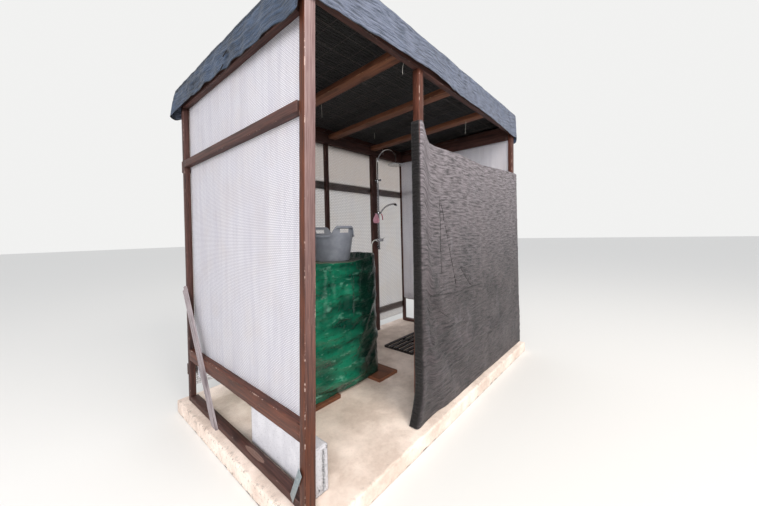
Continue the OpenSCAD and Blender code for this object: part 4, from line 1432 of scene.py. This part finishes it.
@dataclass
class ShowerSet:
    """Riser, arm, rain head, mixer and hand shower, turned and bent in chromed brass.

    Attributes:
        riser_x: Place of the riser's middle line to the right, in millimetres.
        riser_y: Place of the riser's middle line to the back.
        arm_z: Height of the arm's ends.
        reach: Width of the arm's half ring.
        drop: Length of the pipe down to the rain head.
        mixer_z: Height of the mixer's middle.
        holder_z: Height of the hand shower's holder.
        handle_turn: Turn of the hand shower about the riser, in degrees.
    """
    riser_x: float = 2360.0
    riser_y: float = 1624.0
    arm_z: float = 2325.0
    reach: float = 330.0
    drop: float = 44.0
    mixer_z: float = 1260.0
    holder_z: float = 1640.0
    handle_turn: float = 30.0

    def place(self, x: float, y: float, z: float) -> Vector:
        """Place from the riser's middle line and the slab."""
        return at(self.riser_x + x, self.riser_y + y, z)

    @staticmethod
    def shown(name: str, node: str, *parts: Form) -> None:
        """Join parts into a chromed piece whose hard edges stay hard."""
        piece = mesh_piece(name, *joined(parts))
        show(piece, CHROME, node)
        outward(piece)
        piece.data.set_sharp_from_angle(angle=math.radians(35))

    def riser(self) -> None:
        """Two lengths of pipe, the slider between them and the wall brackets."""
        pipe = spun([(12, 0), (12, 930), (12.6, 932), (12.6, 944), (15, 946), (19, 950), (19, 974), (15, 978),
                     (12, 980), (9, 984), (9, 1195)], self.place(0, 0, 1130), UP)
        brackets = [spun([(8, 0), (8, 14), (14, 18), (22, 22), (22, 27)], self.place(0, 0, z), BACK, 28)
                    for z in (1170, 2090)]
        nut = spun([(14, 0), (16, 2), (16, 14), (14, 16)], self.place(0, 0, 1132), UP, 6)
        slider = spun([(11, 0), (12, 3), (12, 24), (15, 28), (15, 40), (10, 44)], self.place(0, -14, 2090),
                      -BACK, 24)
        self.shown("riser_pipe", "riser", pipe, *brackets, nut, slider)

    def arm(self) -> None:
        """Half ring and drop to the rain head, with a nut at the head."""
        radius = self.reach / 2
        path = [self.place(0, -radius + radius * math.cos(turn), self.arm_z + radius * math.sin(turn))
                for turn in (math.pi * k / 40 for k in range(41))]
        path += [self.place(0, -self.reach, self.arm_z - self.drop * k / 4) for k in range(1, 5)]
        nut = spun([(10, 0), (13, 2), (13, 16), (10, 18)], path[-1], UP, 20)
        self.shown("shower_arm_pipe", "shower_arm", tube(path, 9 * MM, 20), nut)

    def rain_head(self) -> None:
        """Flat round head; its nozzles are points on rings, each an instance of one small cone."""
        centre = self.place(0, -self.reach, self.arm_z - self.drop)
        self.shown("rain_head_disc", "rain_head", spun(
            [(3, 0), (13, 0), (15, -4), (18, -12), (34, -16), (70, -19), (104, -21.5), (109.5, -23.5),
             (110.5, -26), (109.5, -28.5), (106, -30), (60, -30.4), (3, -30.4)], centre, UP, 64))
        under = centre - UP * (30.4 * MM)
        points = [point for ring, count in enumerate((6, 12, 18, 24, 30, 36))
                  for point in circle(under, UP, RIGHT, (16 + 15 * ring) * MM, count)]
        nozzle = spun([(2.4, 0.4), (2.2, -1.5), (1.2, -2.6)], Vector(), UP, 8)
        repeat("rain_head_nozzles", points, nozzle, HOSE_WALL)

    def mixer(self) -> None:
        """Body across the riser, a knob at each end, a lever and the union below."""
        middle = self.place(0, 0, self.mixer_z)
        body = spun([(15, -58), (15, -51), (12, -50), (20, -48), (23, -44), (23, 44), (20, 48), (14, 49),
                     (17, 50), (19, 53), (19, 72), (17, 75)], middle, RIGHT, 36)
        ridges = [spun([(1.2, 53), (1.2, 72)], base, RIGHT, 6)
                  for base in circle(middle, RIGHT, BACK, 19 * MM, 16)]
        lever = tube([middle + Vector(step) * MM for step in ((62, -10, 12), (68, -24, 24), (72, -40, 33))],
                     [5 * MM, 4 * MM, 3.4 * MM], 10)
        union = spun([(14, 0), (17, 3), (17, 18), (14, 22)], middle + UP * (20 * MM), UP, 6)
        self.shown("mixer_body", "mixer", body, *ridges, lever, union)

    def hand_shower(self) -> None:
        """Holder ring, curved handle that widens to its head, and the wire hook."""
        holder, bend, sweep = self.place(0, 0, self.holder_z), 210.0, 62
        ring = spun([(12.3, -18), (19, -18), (21, -15), (21, 15), (19, 18), (12.3, 18)], holder, UP, 32)
        socket = spun([(12, 10), (14, 14), (14, 40), (11, 44)], holder, -BACK, 24)
        ahead, sunk = 34 + bend * math.sin(math.radians(sweep)), bend * math.cos(math.radians(sweep))
        path, radii = [], []
        for share in (k / 24 for k in range(25)):
            turn = math.radians(90 - sweep + sweep * share)
            path.append(self.place(0, -ahead + bend * math.cos(turn),
                                   self.holder_z + 2 - sunk + bend * math.sin(turn)))
            radii.append((8.5 + 2.5 * math.sin(math.pi * share) + 2.0 * share ** 3) * MM)
        handle = tube(path, radii, 18)
        tilt = Matrix.Rotation(math.radians(24), 4, "X") @ -UP
        base = self.place(0, -ahead - 26, self.holder_z + bend - sunk + 2)
        head = spun([(4, -4), (14, -3), (20, 3), (27, 12), (32, 20), (33, 24), (30, 26), (3, 26.5)],
                    base, tilt, 32)
        neck = tube([path[-1], path[-1].lerp(base, 0.6), base + tilt * (6 * MM)],
                    [12 * MM, 13 * MM, 14 * MM], 18)
        hook = tube([self.place(-78 + 26 * k, -(k % 2), self.holder_z - 10) for k in range(6)], 2.6 * MM, 10)
        middle, about = self.place(0, 0, 0), Matrix.Rotation(math.radians(self.handle_turn), 3, "Z")
        turned = [([middle + about @ (p - middle) for p in points], faces)
                  for points, faces in (socket, handle, head, neck)]
        self.shown("hand_shower_set", "hand_shower", ring, hook, *turned)

    def build(self) -> None:
        """Build every piece of the set."""
        self.riser()
        self.arm()
        self.rain_head()
        self.mixer()
        self.hand_shower()


def grown(host: bpy.types.Object, finish: Finish, wanted: dict[str, tuple[str, object]],
          build: Callable[[Adder, object], object], *nodes: str) -> None:
    """Run a Geometry Nodes tree on a host, keep the result as a plain mesh and dress it.

    Args:
        host: Object whose mesh goes into the tree.
        finish: Finish of what the tree makes.
        wanted: Kind and value of the tree's own inputs, by name.
        build: Adds the tree's own nodes, from an adder and the group's inputs, and gives the last one.
        *nodes: Solids that it stands for.
    """
    tree = bpy.data.node_groups.new(host.name + "_tree", "GeometryNodeTree")
    wanted = {**wanted, "Finish": ("Material", finish.material())}
    socket = tree.interface.new_socket
    socket("Host", in_out="INPUT", socket_type="NodeSocketGeometry")
    keys = {name: socket(name, in_out="INPUT", socket_type="NodeSocket" + kind).identifier
            for name, (kind, _) in wanted.items()}
    socket("Grown", in_out="OUTPUT", socket_type="NodeSocketGeometry")
    add = partial(add_node, tree)
    given = add("NodeGroupInput").outputs
    real = add("GeometryNodeRealizeInstances", (build(add, given),))
    add("NodeGroupOutput", (add("GeometryNodeSetMaterial", {"Geometry": real, "Material": given["Finish"]}),))
    modifier = configure(host.modifiers.new("grow", "NODES"), node_group=tree)
    for name, (_, value) in wanted.items():
        modifier[keys[name]] = value
    bpy.context.view_layer.update()
    bake(host)
    show(host, finish, *nodes)


def repeat(name: str, points: Sequence[Vector], form: Form, finish: Finish) -> None:
    """Set upright copies of one small form on points with Geometry Nodes."""
    stamp = mesh_piece(name + "_form", *form)
    outward(stamp)

    def copies(add: Adder, given: object) -> bpy.types.Node:
        """Nodes that set the form on each point."""
        source = add("GeometryNodeObjectInfo", {"Object": given["Form"]}).outputs["Geometry"]
        return add("GeometryNodeInstanceOnPoints", {"Points": given["Host"], "Instance": source})

    grown(mesh_piece(name, points, []), finish, {"Form": ("Object", stamp)}, copies)
    bpy.data.objects.remove(stamp)


def wires(name: str, lines: Iterable[Sequence[Vector]], radius_mm: float, sides: int, finish: Finish,
          *nodes: str) -> None:
    """Make round wires along lines of points with Geometry Nodes."""
    points: list[Vector] = []
    edges: list[tuple[int, int]] = []
    for line in lines:
        edges += [(len(points) + i, len(points) + i + 1) for i in range(len(line) - 1)]
        points += line

    def swept(add: Adder, given: object) -> bpy.types.Node:
        """Nodes that sweep a circle along each line."""
        curve = add("GeometryNodeMeshToCurve", {"Mesh": given["Host"]})
        ring = add("GeometryNodeCurvePrimitiveCircle", {
            "Resolution": given["Sides"], "Radius": given["Radius"]})
        return add("GeometryNodeCurveToMesh", {"Curve": curve, "Profile Curve": ring, "Fill Caps": True})

    grown(mesh_piece(name, points, [], edges), finish, {
        "Radius": ("Float", radius_mm * MM), "Sides": ("Int", sides)}, swept, *nodes)


@dataclass
class RoofMesh:
    """Welded wire mesh on the rafters: round wires that dip a little between their welds.

    Attributes:
        rows: Gaps between wires down the slope.
        columns: Gaps between wires along the front.
        wire_mm: Thickness of a wire.
    """
    rows: int = 10
    columns: int = 19
    wire_mm: float = 3.6

    def build(self) -> None:
        """Lay the wires along both directions of the sloping solid."""
        low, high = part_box("roof_mesh")
        inside = 2 * MM

        def spot(u: float, v: float, lift: float = 0.0) -> Vector:
            """Place at a share to the right and a share down the slope."""
            x = low.x + inside + (high.x - low.x - 2 * inside) * u
            z = high.z - inside - (high.z - low.z - 2 * inside) * v
            dip = 5 * MM * abs(wobble(Vector((x, v * 1.6, 0)), 350, 3))
            return Vector((x, low.y + inside + (high.y - low.y - 2 * inside) * v, z - dip + lift))

        lines = [[spot(i / self.columns, k / 24) for k in range(25)] for i in range(self.columns + 1)]
        lines += [[spot(k / 48, j / self.rows, -self.wire_mm * 0.8 * MM) for k in range(49)]
                  for j in range(self.rows + 1)]
        wires("roof_wire_mesh", lines, self.wire_mm / 2, 6, WIRE, "roof_mesh")


def hose_route() -> list[Vector]:
    """The feed hose's own points, in millimetres on the hut, from the mixer to the tank's outlet."""
    bend = 100.0
    start = Vector((2302, 1624, 1260))
    end = Vector((1437, 1416, 126))
    fall = Vector((start.x - 1.2 * bend, 1624 - 0.22 * bend, 2.3 * bend))
    floor = Vector((fall.x - 1.62 * bend, fall.y - 0.58 * bend, 9))
    lift = Vector((end.x + 2.2 * bend, 1416 + 0.1 * bend, 9))
    rise = Vector((end.x + 1.1 * bend, 1416 + 0.06 * bend, 30))
    steps = ((0, 0, 0), (-0.22, 0, 0.01), (-0.45, 0, -0.03), (-0.66, 0, -0.14), (-0.84, 0, -0.33),
             (-0.95, 0, -0.58), (-0.99, 0, -0.9), (-1, -0.01, -1.6))
    route = [start + Vector(step) * bend for step in steps]
    route += [route[-1].lerp(fall, share) for share in (0.16, 0.38, 0.64, 0.86)]
    route += [fall + Vector(step) * bend for step in ((0, 0, 0), (-0.18, -0.1, -1), (-0.5, -0.24, -1.68),
                                                       (-0.98, -0.4, -2.04))]
    route += [floor.lerp(lift, share) for share in (0.25, 0.5, 0.75, 1)]
    route.append(rise)
    route += [end + Vector(step) * bend for step in ((0.62, 0.02, -0.24), (0.28, 0, -0.04), (0, 0, 0))]
    return route


def smooth_route(route: Sequence[Vector], steps: int) -> list[Vector]:
    """Points on a smooth curve through a route's own points."""
    last = len(route) - 1
    made = []
    for i in range(last):
        a, b, c, d = route[max(i - 1, 0)], route[i], route[i + 1], route[min(i + 2, last)]
        for k in range(steps):
            t = k / steps
            made.append(0.5 * (2 * b + t * (c - a) + t * t * (2 * a - 5 * b + 4 * c - d)
                               + t ** 3 * (3 * b - a - 3 * c + d)))
    return made + [route[-1].copy()]


def lay_cord(name: str, path: Sequence[Vector], radius_mm: float, sides: int, finish: Finish, *nodes: str,
             digits: int = 4, **how: str) -> None:
    """Sweep a cord along its path.

    Args:
        name: Name of the piece.
        path: Points of its middle line.
        radius_mm: Radius of the cord.
        sides: Sides of the cord.
        finish: Finish of the cord.
        *nodes: Solids that it stands for.
        digits: Digits of its length in metres; not used.
    """
    piece = mesh_piece(name, *tube(path, radius_mm * MM, sides))
    show(piece, finish, *nodes)
    length = sum((b - a).length for a, b in zip(path, path[1:]))
    tuple(path[0])
    [tuple(p) for p in path]


@dataclass
class FeedHose:
    """White hose from the mixer down to the floor and along it to the tank's outlet.

    Attributes:
        radius_mm: Radius of the hose.
    """
    radius_mm: float = 7.0

    def build(self) -> None:
        """Sweep the hose along its route."""
        path = [at(*point) for point in smooth_route(hose_route(), 6)]
        lay_cord("feed_hose_tube", path, self.radius_mm, 14, HOSE_WALL, "feed_hose", digits=3,
                 far_end="object", stiffness="medium", lay="loose")


@dataclass
class LooseStrings:
    """Ends of white twine that hang from the rafters, left from tying the wire mesh.

    Attributes:
        places: Place of each string's upper end in millimetres, and its length in metres.
        radius_mm: Radius of the twine.
    """
    places: tuple[tuple[float, float, float, float], ...] = (
        (955, 1058, 2556, 0.12), (902, 66, 2580, 0.13), (1887, 1241, 2552, 0.07), (2304, 275, 2560, 0.15),
        (2400, 1554, 2540, 0.10))
    radius_mm: float = 1.1

    def build(self) -> None:
        """Hang each string in a slack line of its own."""
        for number, (x, y, z, length) in enumerate(self.places):
            rng = random.Random(number)
            lean = Vector((rng.uniform(-1, 1), rng.uniform(-1, 1), 0)).normalized()
            path = []
            for share in (k / 15 for k in range(16)):
                sway = lean * (0.018 * math.sin(share * 2.4) * share)
                path.append(at(x, y, z) + sway - UP * (share * length * 0.97))
            lay_cord(f"string_{number + 1}", path, self.radius_mm, 8, STRING, far_end="bare",
                     stiffness="limp", lay="hanging")


@dataclass
class Sponge:
    """Gathered nylon net that hangs by the mixer, with a rubber strap beside it."""

    def build(self) -> None:
        """Ruffle a drop-shaped net and bend the strap."""
        low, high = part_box("sponge")
        centre = Vector(((low.x + high.x) / 2, (low.y + high.y) / 2, low.z))
        profile = [(1, 134), (10, 130), (18, 120), (20, 112), (24, 100), (32, 84), (40, 66), (44, 50),
                   (45, 34), (42, 18), (34, 6), (18, 1), (1, 0)]
        points, faces = spun(profile[::-1], centre, UP, 72)
        ruffled = []
        for point in points:
            offset = Vector((point.x - centre.x, point.y - centre.y, 0))
            angle = math.atan2(offset.y, offset.x)
            fold = 0.13 * math.sin(9 * angle + 5 * wobble(point, 60, 1)) + 0.12 * wobble(point, 14, 3)
            ruffled.append(point + offset * (fold - 0.12))
        piece = mesh_piece("sponge_net", ruffled, faces)
        outward(piece, weld=True)
        show(piece, NET, "sponge")
        path = [at(*place) for place in ((2388, 1606, 1632), (2398, 1600, 1616), (2408, 1597, 1592),
                                         (2414, 1597, 1566), (2418, 1600, 1540))]
        strap = mesh_piece("strap_on_hook", *tube(smooth_route(path, 4), 7 * MM, 10))
        show(strap, STRAP)


@dataclass
class FloorMat:
    """Slatted duckboard: one slat form is repeated over three bearers.

    Attributes:
        slats: How many slats it has.
        pitch_mm: Distance from slat to slat.
        slat: Length, width and thickness of a slat, in millimetres.
    """
    slats: int = 6
    pitch_mm: float = 73.0
    slat: tuple[float, float, float] = (700.0, 36.0, 13.0)

    def build(self) -> None:
        """Repeat the slats and lay the bearers under them."""
        low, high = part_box("floor_mat")
        length, width, thick = self.slat
        parts = []
        for k in range(self.slats):
            corner = low + Vector((0, k * self.pitch_mm, thick)) * MM
            parts.append(rounded_box(corner, Vector((length, width, thick)) * MM, 2.0 * MM))
        for k in range(3):
            corner = low + Vector(((length - 30) * k / 2, 0, 0)) * MM
            parts.append(rounded_box(corner, Vector((30, (high.y - low.y) / MM, thick)) * MM, 1.5 * MM))
        piece = mesh_piece("floor_mat_slats", *joined(parts))
        grain_by_box(piece, Along.X)
        show(piece, DARK_SLATS, "floor_mat", smooth=False)
        heads = [low + Vector((15 + (length - 30) * i / 2, k * self.pitch_mm + width / 2, 2 * thick)) * MM
                 for i in range(3) for k in range(self.slats)]
        repeat("floor_mat_nails", heads, spun([(0.5, 0.9), (3, 0.6), (3.6, -0.4)], Vector(), UP, 8), ZINC)


def rounded_box(corner: Vector, size: Vector, edge: float) -> Form:
    """Points and faces of a box with chamfered edges."""
    mesh = bmesh.new()
    bmesh.ops.create_cube(mesh, size=1.0)
    for v in mesh.verts:
        v.co = corner + Vector((v.co[i] + 0.5) * size[i] for i in range(3))
    bmesh.ops.bevel(mesh, geom=mesh.edges[:], offset=edge, segments=2, affect="EDGES", profile=0.6)
    mesh.verts.index_update()
    result = [v.co.copy() for v in mesh.verts], [tuple(v.index for v in f.verts) for f in mesh.faces]
    mesh.free()
    return result


def grain_by_box(piece: bpy.types.Object, along: Along, seed: float = 0.0) -> None:
    """Lay a grain map on a piece of plain boards from their places alone."""
    mesh = piece.data
    grain = mesh.uv_layers.new(name="grain")
    across = mesh.uv_layers.new(name="across")
    a = along.value
    b, c = [i for i in range(3) if i != a]
    for face in mesh.polygons:
        flat_b = abs(face.normal[b]) > abs(face.normal[c])
        span = c if flat_b else b
        values = [mesh.vertices[mesh.loops[k].vertex_index].co[span] for k in face.loop_indices]
        low, high = min(values), max(values)
        for loop in face.loop_indices:
            co = mesh.vertices[mesh.loops[loop].vertex_index].co
            grain.data[loop].uv = (co[a] + seed, co[b] + 1.37 * co[c] + seed)
            share = 0.5 if high - low < 1e-6 else (co[span] - low) / (high - low)
            across.data[loop].uv = (share, max(high - low, 1 * MM))


@dataclass
class TankBoards:
    """The two boards under the tank, with rounded edges and ends."""

    def build(self) -> None:
        """Make a copy of each board with rounded edges."""
        points = solid_points("tank_boards")
        middle = sum(p.x for p in points) / len(points)
        parts = []
        for side in (-1, 1):
            low, high = limits([p for p in points if (p.x - middle) * side > 0])
            parts.append(rounded_box(low, high - low, 3.5 * MM))
        piece = mesh_piece("tank_board_pair", *joined(parts))
        grain_by_box(piece, Along.Y, 0.3)
        show(piece, BARE, "tank_boards", smooth=False)


@dataclass
class FoamBlock:
    """The foam block inside the left wall: round edges, a groove in its end, painted shade in and round the
    groove, and two spots of painted shade for dents.

    Attributes:
        groove: Sides of the groove from the hut's left face, in millimetres.
        dents: Place and radius of each spot of painted shade for a dent in the end face: across, up and
            radius.
    """
    groove: tuple[float, float] = (137.0, 148.0)
    dents: tuple[tuple[float, float, float], ...] = ((166, 236, 5), (112, 32, 5))

    def build(self) -> None:
        """Round a gridded copy of the block, press its groove in and mark where shade is painted in the
        groove and the dents.
        """
        low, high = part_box("foam_block")
        sides = [at(x, 0, 0).x for x in (self.groove[0] - 2, *self.groove, self.groove[1] + 2)]
        mesh = gridded_box(low, high, 9 * MM, 11 * MM, {0: sides})
        # The edge attribute holds painted shade: in and round the groove, low on its left, and in two spots
        # for dents
        stain = mesh.verts.layers.float.new("edge")
        for v in mesh.verts:
            x, _, z = on_hut(v.co)
            end = v.co.y < low.y + 1e-6
            gaps = [min(v.co[i] - low[i], high[i] - v.co[i]) for i in range(3)]
            near = [max(0.0, 1 - gap / (11 * MM)) for gap in gaps]
            middle = (low + high) / 2
            for i in range(3):
                others = sorted(near[k] for k in range(3) if k != i)
                if near[i] > 0.99:
                    inwards = 1 if middle[i] > v.co[i] else -1
                    v.co[i] += inwards * (1 + 5.5 * others[1] ** 2 + 3 * others[0] ** 2) * MM
            if end and self.groove[0] - 1 < x < self.groove[1] + 1 and 18 < z < 222:
                v.co.y += 14 * MM
                v[stain] = 1.0
            elif end:
                v[stain] = 0.75 * max(0.0, 1 - abs(x - 143) / 26) * (z < 235) + 0.3 * (x < 143 and z < 60)
            for across, up, radius in self.dents:
                if end and math.hypot(x - across, z - up) < radius + 3:
                    v[stain] = 2.0
        show(from_bmesh("foam_block_body", mesh), FOAM, "foam_block")


@dataclass
class LeaningPlank:
    """The weathered plank against the left wall: split along its grain, with a ragged head.

    Attributes:
        slope_deg: Its slope from the level.
    """
    slope_deg: float = 58.5

    def build(self) -> None:
        """Loft the plank along its slope in two tapering halves with a crack between them."""
        low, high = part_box("leaning_plank")
        length, width, thick = 1120 * MM, 66 * MM, 18 * MM
        turn = math.radians(self.slope_deg)
        along = Vector((0, math.cos(turn), math.sin(turn)))
        across = Vector((0, math.sin(turn), -math.cos(turn)))
        foot = at(0, 1088, 0)
        parts = []
        count = 46
        for half, (start, share) in enumerate(((0.0, 0.46), (0.5, 0.5))):
            ring: list[Vector] = []
            for k in range(count + 1):
                s = k / count * length * (1.0 if half == 0 else 0.985)
                wide, edge, lift = (depth * MM * wobble(Vector((s, half, level)), size, seed)
                                    for depth, level, size, seed in (
                    (1.2, 0, 90, 2), (1.0, 5, 120, 4), (1.2, 9, 200, 6)))
                wide += width * share * (1 - 0.10 * (k / count) ** 3)
                edge += width * start
                for u, w in ((0, 0), (1, 0), (1, 1), (0, 1)):
                    spot = foot + along * s + across * (edge + u * wide)
                    spot.x = high.x - (1 - w) * thick + (lift if w == 0 else 0)
                    spot.z = max(spot.z, low.z)
                    ring.append(spot)
            parts.append((ring, closed(count + 1, 4)))
        piece = mesh_piece("leaning_plank_board", *joined(parts))
        outward(piece)
        offsets = [v.co - foot for v in piece.data.vertices]
        lay_map(piece, "grain", lambda k: (offsets[k].dot(along), offsets[k].dot(across) + offsets[k].x))
        lay_map(piece, "across", lambda k: (0.5, 0.03))
        show(piece, GREY_WOOD, "leaning_plank", smooth=False)


@dataclass
class WornPatch:
    """A patch on a timber's top where the stain has peeled: a thin ragged oval of barer wood.

    Attributes:
        middle: Place on the hut, in millimetres.
        half: Half its length along the hut's depth and half its width, in millimetres.
    """
    middle: tuple[float, float, float] = (21.0, 600.0, 40.2)
    half: tuple[float, float] = (125.0, 17.0)

    def build(self) -> None:
        """Cut the oval's ragged outline and give it its grain."""
        rings = []
        n, (x, y, z) = 72, self.middle
        for share, turn in product((0.55, 0.85, 1.0), (math.radians(360 * k / n) for k in range(n))):
            ragged = share * (1 + 0.12 * wobble(Vector((math.cos(turn), math.sin(turn), 0)) * 0.1, 22, 3))
            rings.append(at(x + self.half[1] * ragged * math.sin(turn),
                            y + self.half[0] * ragged * math.cos(turn), z - 0.7 * (share == 1.0)))
        piece = mesh_piece("sill_worn_patch", rings, [tuple(range(n - 1, -1, -1)),
                                                      *(face[::-1] for face in bands(3, n))])
        grain_by_box(piece, Along.Y, 0.7)
        show(piece, PEELED, smooth=False)


@dataclass
class TornTail:
    """A torn tail of sheeting that hangs behind the low rail near the rear left post.

    Attributes:
        line: Its middle, its width and its height from top to bottom, in millimetres.
    """
    line: tuple[tuple[float, float, float], ...] = ((1612, 34, 352), (1600, 46, 310), (1572, 40, 262),
                                                    (1548, 12, 217))

    def build(self) -> None:
        """Hang a narrow strip along its line."""
        def place(u: float, v: float) -> Vector:
            """Point on the strip, a little curled."""
            step = v * (len(self.line) - 1)
            first = min(int(step), len(self.line) - 2)
            middle, width, z = (a + (b - a) * (step - first) for a, b in zip(*self.line[first:first + 2]))
            return at(44 - 9 * v - 5 * math.sin(3 * u + 4 * v), middle + (u - 0.5) * width, z)

        flat = (0.046, 0.152)
        piece = sheet_grid("cloth_torn_tail", 6, 12, place, flat)
        thicken(piece, 1.2)
        show(piece, SHEETING)


@dataclass
class Stage:
    """Pale floor and soft studio light at a plain level, and the photograph's viewpoint.

    Attributes:
        eye: Camera's place in metres in the part's frame.
        yaw_deg: Heading from the X axis towards the Y axis.
        pitch_deg: Rise of the view.
        roll_deg: Roll of the view.
        focal_px: Focal length in pixels of the picture.
        rise_px: Height of the optical axis above the picture's middle.
        picture_px: Width and height of the picture.
    """
    eye: tuple[float, float, float] = (-2.3345, -2.0526, 1.4437)
    yaw_deg: float = 41.32
    pitch_deg: float = -0.31
    roll_deg: float = -1.37
    focal_px: float = 305.04
    rise_px: float = 17.29
    picture_px: tuple[int, int] = (759, 506)

    def camera(self) -> None:
        """Set the camera with the photograph's heading, roll and framing."""
        width = 36.0
        data = configure(bpy.data.cameras.new("camera"), sensor_width=width, clip_start=0.05, clip_end=200.0,
                         lens=width * self.focal_px / self.picture_px[0],
                         shift_y=-self.rise_px / self.picture_px[0])
        yaw, pitch, roll = (math.radians(v) for v in (self.yaw_deg, self.pitch_deg, self.roll_deg))
        ahead = Vector((math.cos(yaw) * math.cos(pitch), math.sin(yaw) * math.cos(pitch), math.sin(pitch)))
        right = Vector((math.sin(yaw), -math.cos(yaw), 0))
        up = right.cross(ahead)
        level = right * math.cos(roll) + up * math.sin(roll)
        upright = up * math.cos(roll) - right * math.sin(roll)
        turn = Matrix((level, upright, -ahead)).transposed().to_4x4()
        bpy.context.scene.camera = configure(
            placed("camera", data), matrix_world=Matrix.Translation(Vector(self.eye)) @ turn)

    def floor(self) -> None:
        """Lay a pale floor under the slab, a little brighter to the camera than to the light."""
        side = 60.0
        corners = [Vector((x * side, y * side, -0.001)) for x, y in ((-1, -1), (1, -1), (1, 1), (-1, 1))]
        floor = mesh_piece("floor", corners, [(0, 1, 2, 3)])
        paper = bpy.data.materials.new("pale_paper")
        paper.use_nodes = True
        sight = add_node(paper.node_tree, "ShaderNodeLightPath").outputs["Is Camera Ray"]
        fill(paper.node_tree.nodes["Principled BSDF"], {
            "Base Color": linear("#d5d4d1"), "Roughness": 0.95, "Specular IOR Level": 0.1,
            "Emission Color": linear("#fbfaf8"),
            "Emission Strength": add_node(paper.node_tree, MATH, (sight, 0.10), **TIMES)})
        floor.data.materials.append(paper)

    def lamps(self) -> None:
        """A broad soft key from the left, one from high in front, and an even pale world."""
        world = bpy.data.worlds.new("studio")
        bpy.context.scene.world = world
        world.use_nodes = True
        add = partial(add_node, world.node_tree)
        world.node_tree.nodes.clear()
        path = add("ShaderNodeLightPath").outputs
        sight = add(MATH, (add(MATH, (path["Is Camera Ray"], path["Is Glossy Ray"]), **LARGER),
                           path["Is Transmission Ray"]), **LARGER)
        light = add("ShaderNodeBackground", {"Color": linear("#f4f6fa"), "Strength": 0.92})
        backdrop = add("ShaderNodeBackground", {"Color": linear("#f7f7f6"), "Strength": 0.95})
        add("ShaderNodeOutputWorld", (add("ShaderNodeMixShader", (sight, light, backdrop)),))
        self.lamp("key", (-6.7, -4.8, 3.6), 4.0, 520.0, "#fbf9fa")
        self.lamp("front", (-1.2, -5.6, 6.6), 3.0, 330.0, "#fff6ea")

    @staticmethod
    def lamp(name: str, place: tuple[float, float, float], size: float, watts: float, colour: str) -> None:
        """Hang one area lamp that faces the hut."""
        data = configure(bpy.data.lights.new(name, "AREA"), size=size, energy=watts, color=linear(colour)[:3])
        turn = (UP * 1.3 - Vector(place)).to_track_quat("-Z", "Y")
        configure(placed(name, data), location=place, rotation_mode="QUATERNION", rotation_quaternion=turn)

    def build(self) -> None:
        """Build the camera, the floor and the lamps."""
        self.camera()
        self.floor()
        self.lamps()
        bpy.context.scene.view_settings.view_transform = "Standard"


MEMBERS = (
    Member("sill_left", Along.Y), Member("sill_right", Along.Y),
    Member("post_front_left", Along.Z, SUNNY_POST, 2.5, 1.0), Member("post_door", Along.Z, FRONT_POST),
    Member("post_front_right", Along.Z, FRONT_POST), Member("post_back_left", Along.Z),
    Member("post_back_middle", Along.Z), Member("post_back_right", Along.Z), Member("shower_post", Along.Z),
    Member("beam_front", Along.X), Member("plate_back", Along.X),
    Member("top_rail_left", Along.Y), Member("top_rail_right", Along.Y),
    Member("mid_rail_left", Along.Y), Member("mid_rail_right", Along.Y),
    Member("low_rail_left", Along.Y, FRONT_POST, 3.0, 1.2), Member("low_rail_right", Along.Y),
    Member("mid_rail_back", Along.X), Member("low_rail_back", Along.X),
    Member("rafter_1", Along.Y, BARE), Member("rafter_2", Along.Y, BARE), Member("rafter_3", Along.Y, BARE),
)


def dress_plain(node: str, finish: Finish) -> None:
    """Give a solid that stays as it is a finish of its own."""
    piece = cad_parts[node]
    piece.data.materials.clear()
    piece.data.materials.append(finish.material())


def main() -> None:
    """Build the scene, piece by piece."""
    logging.basicConfig(level=logging.INFO, format="%(relativeCreated)d %(message)s")
    for piece in (
            Stage(), FeedHose(), LooseStrings(), *MEMBERS, Slab(),
            WallSheet("sheet_left", 0, (430, 1960, 2425), seed=1.0, wander_mm=9.0),
            WallSheet("sheet_right", 0, (430, 1960, 2425), seed=7.0),
            WallSheet("sheet_back", 1, (255, 1940, 2430), BACK_SHEETING, seed=13.0),
            FrontScreen(), RoofCover(), RoofMesh(), TankCover(), WashTub(), ShowerSet(), Sponge(), FloorMat(),
            WornPatch(), TornTail(), TankBoards(), FoamBlock(), LeaningPlank()):
        piece.build()
    dress_plain("tank", TANK_WALL)
    dress_plain("nail_plate", ZINC)


if __name__ == "__main__":
    main()
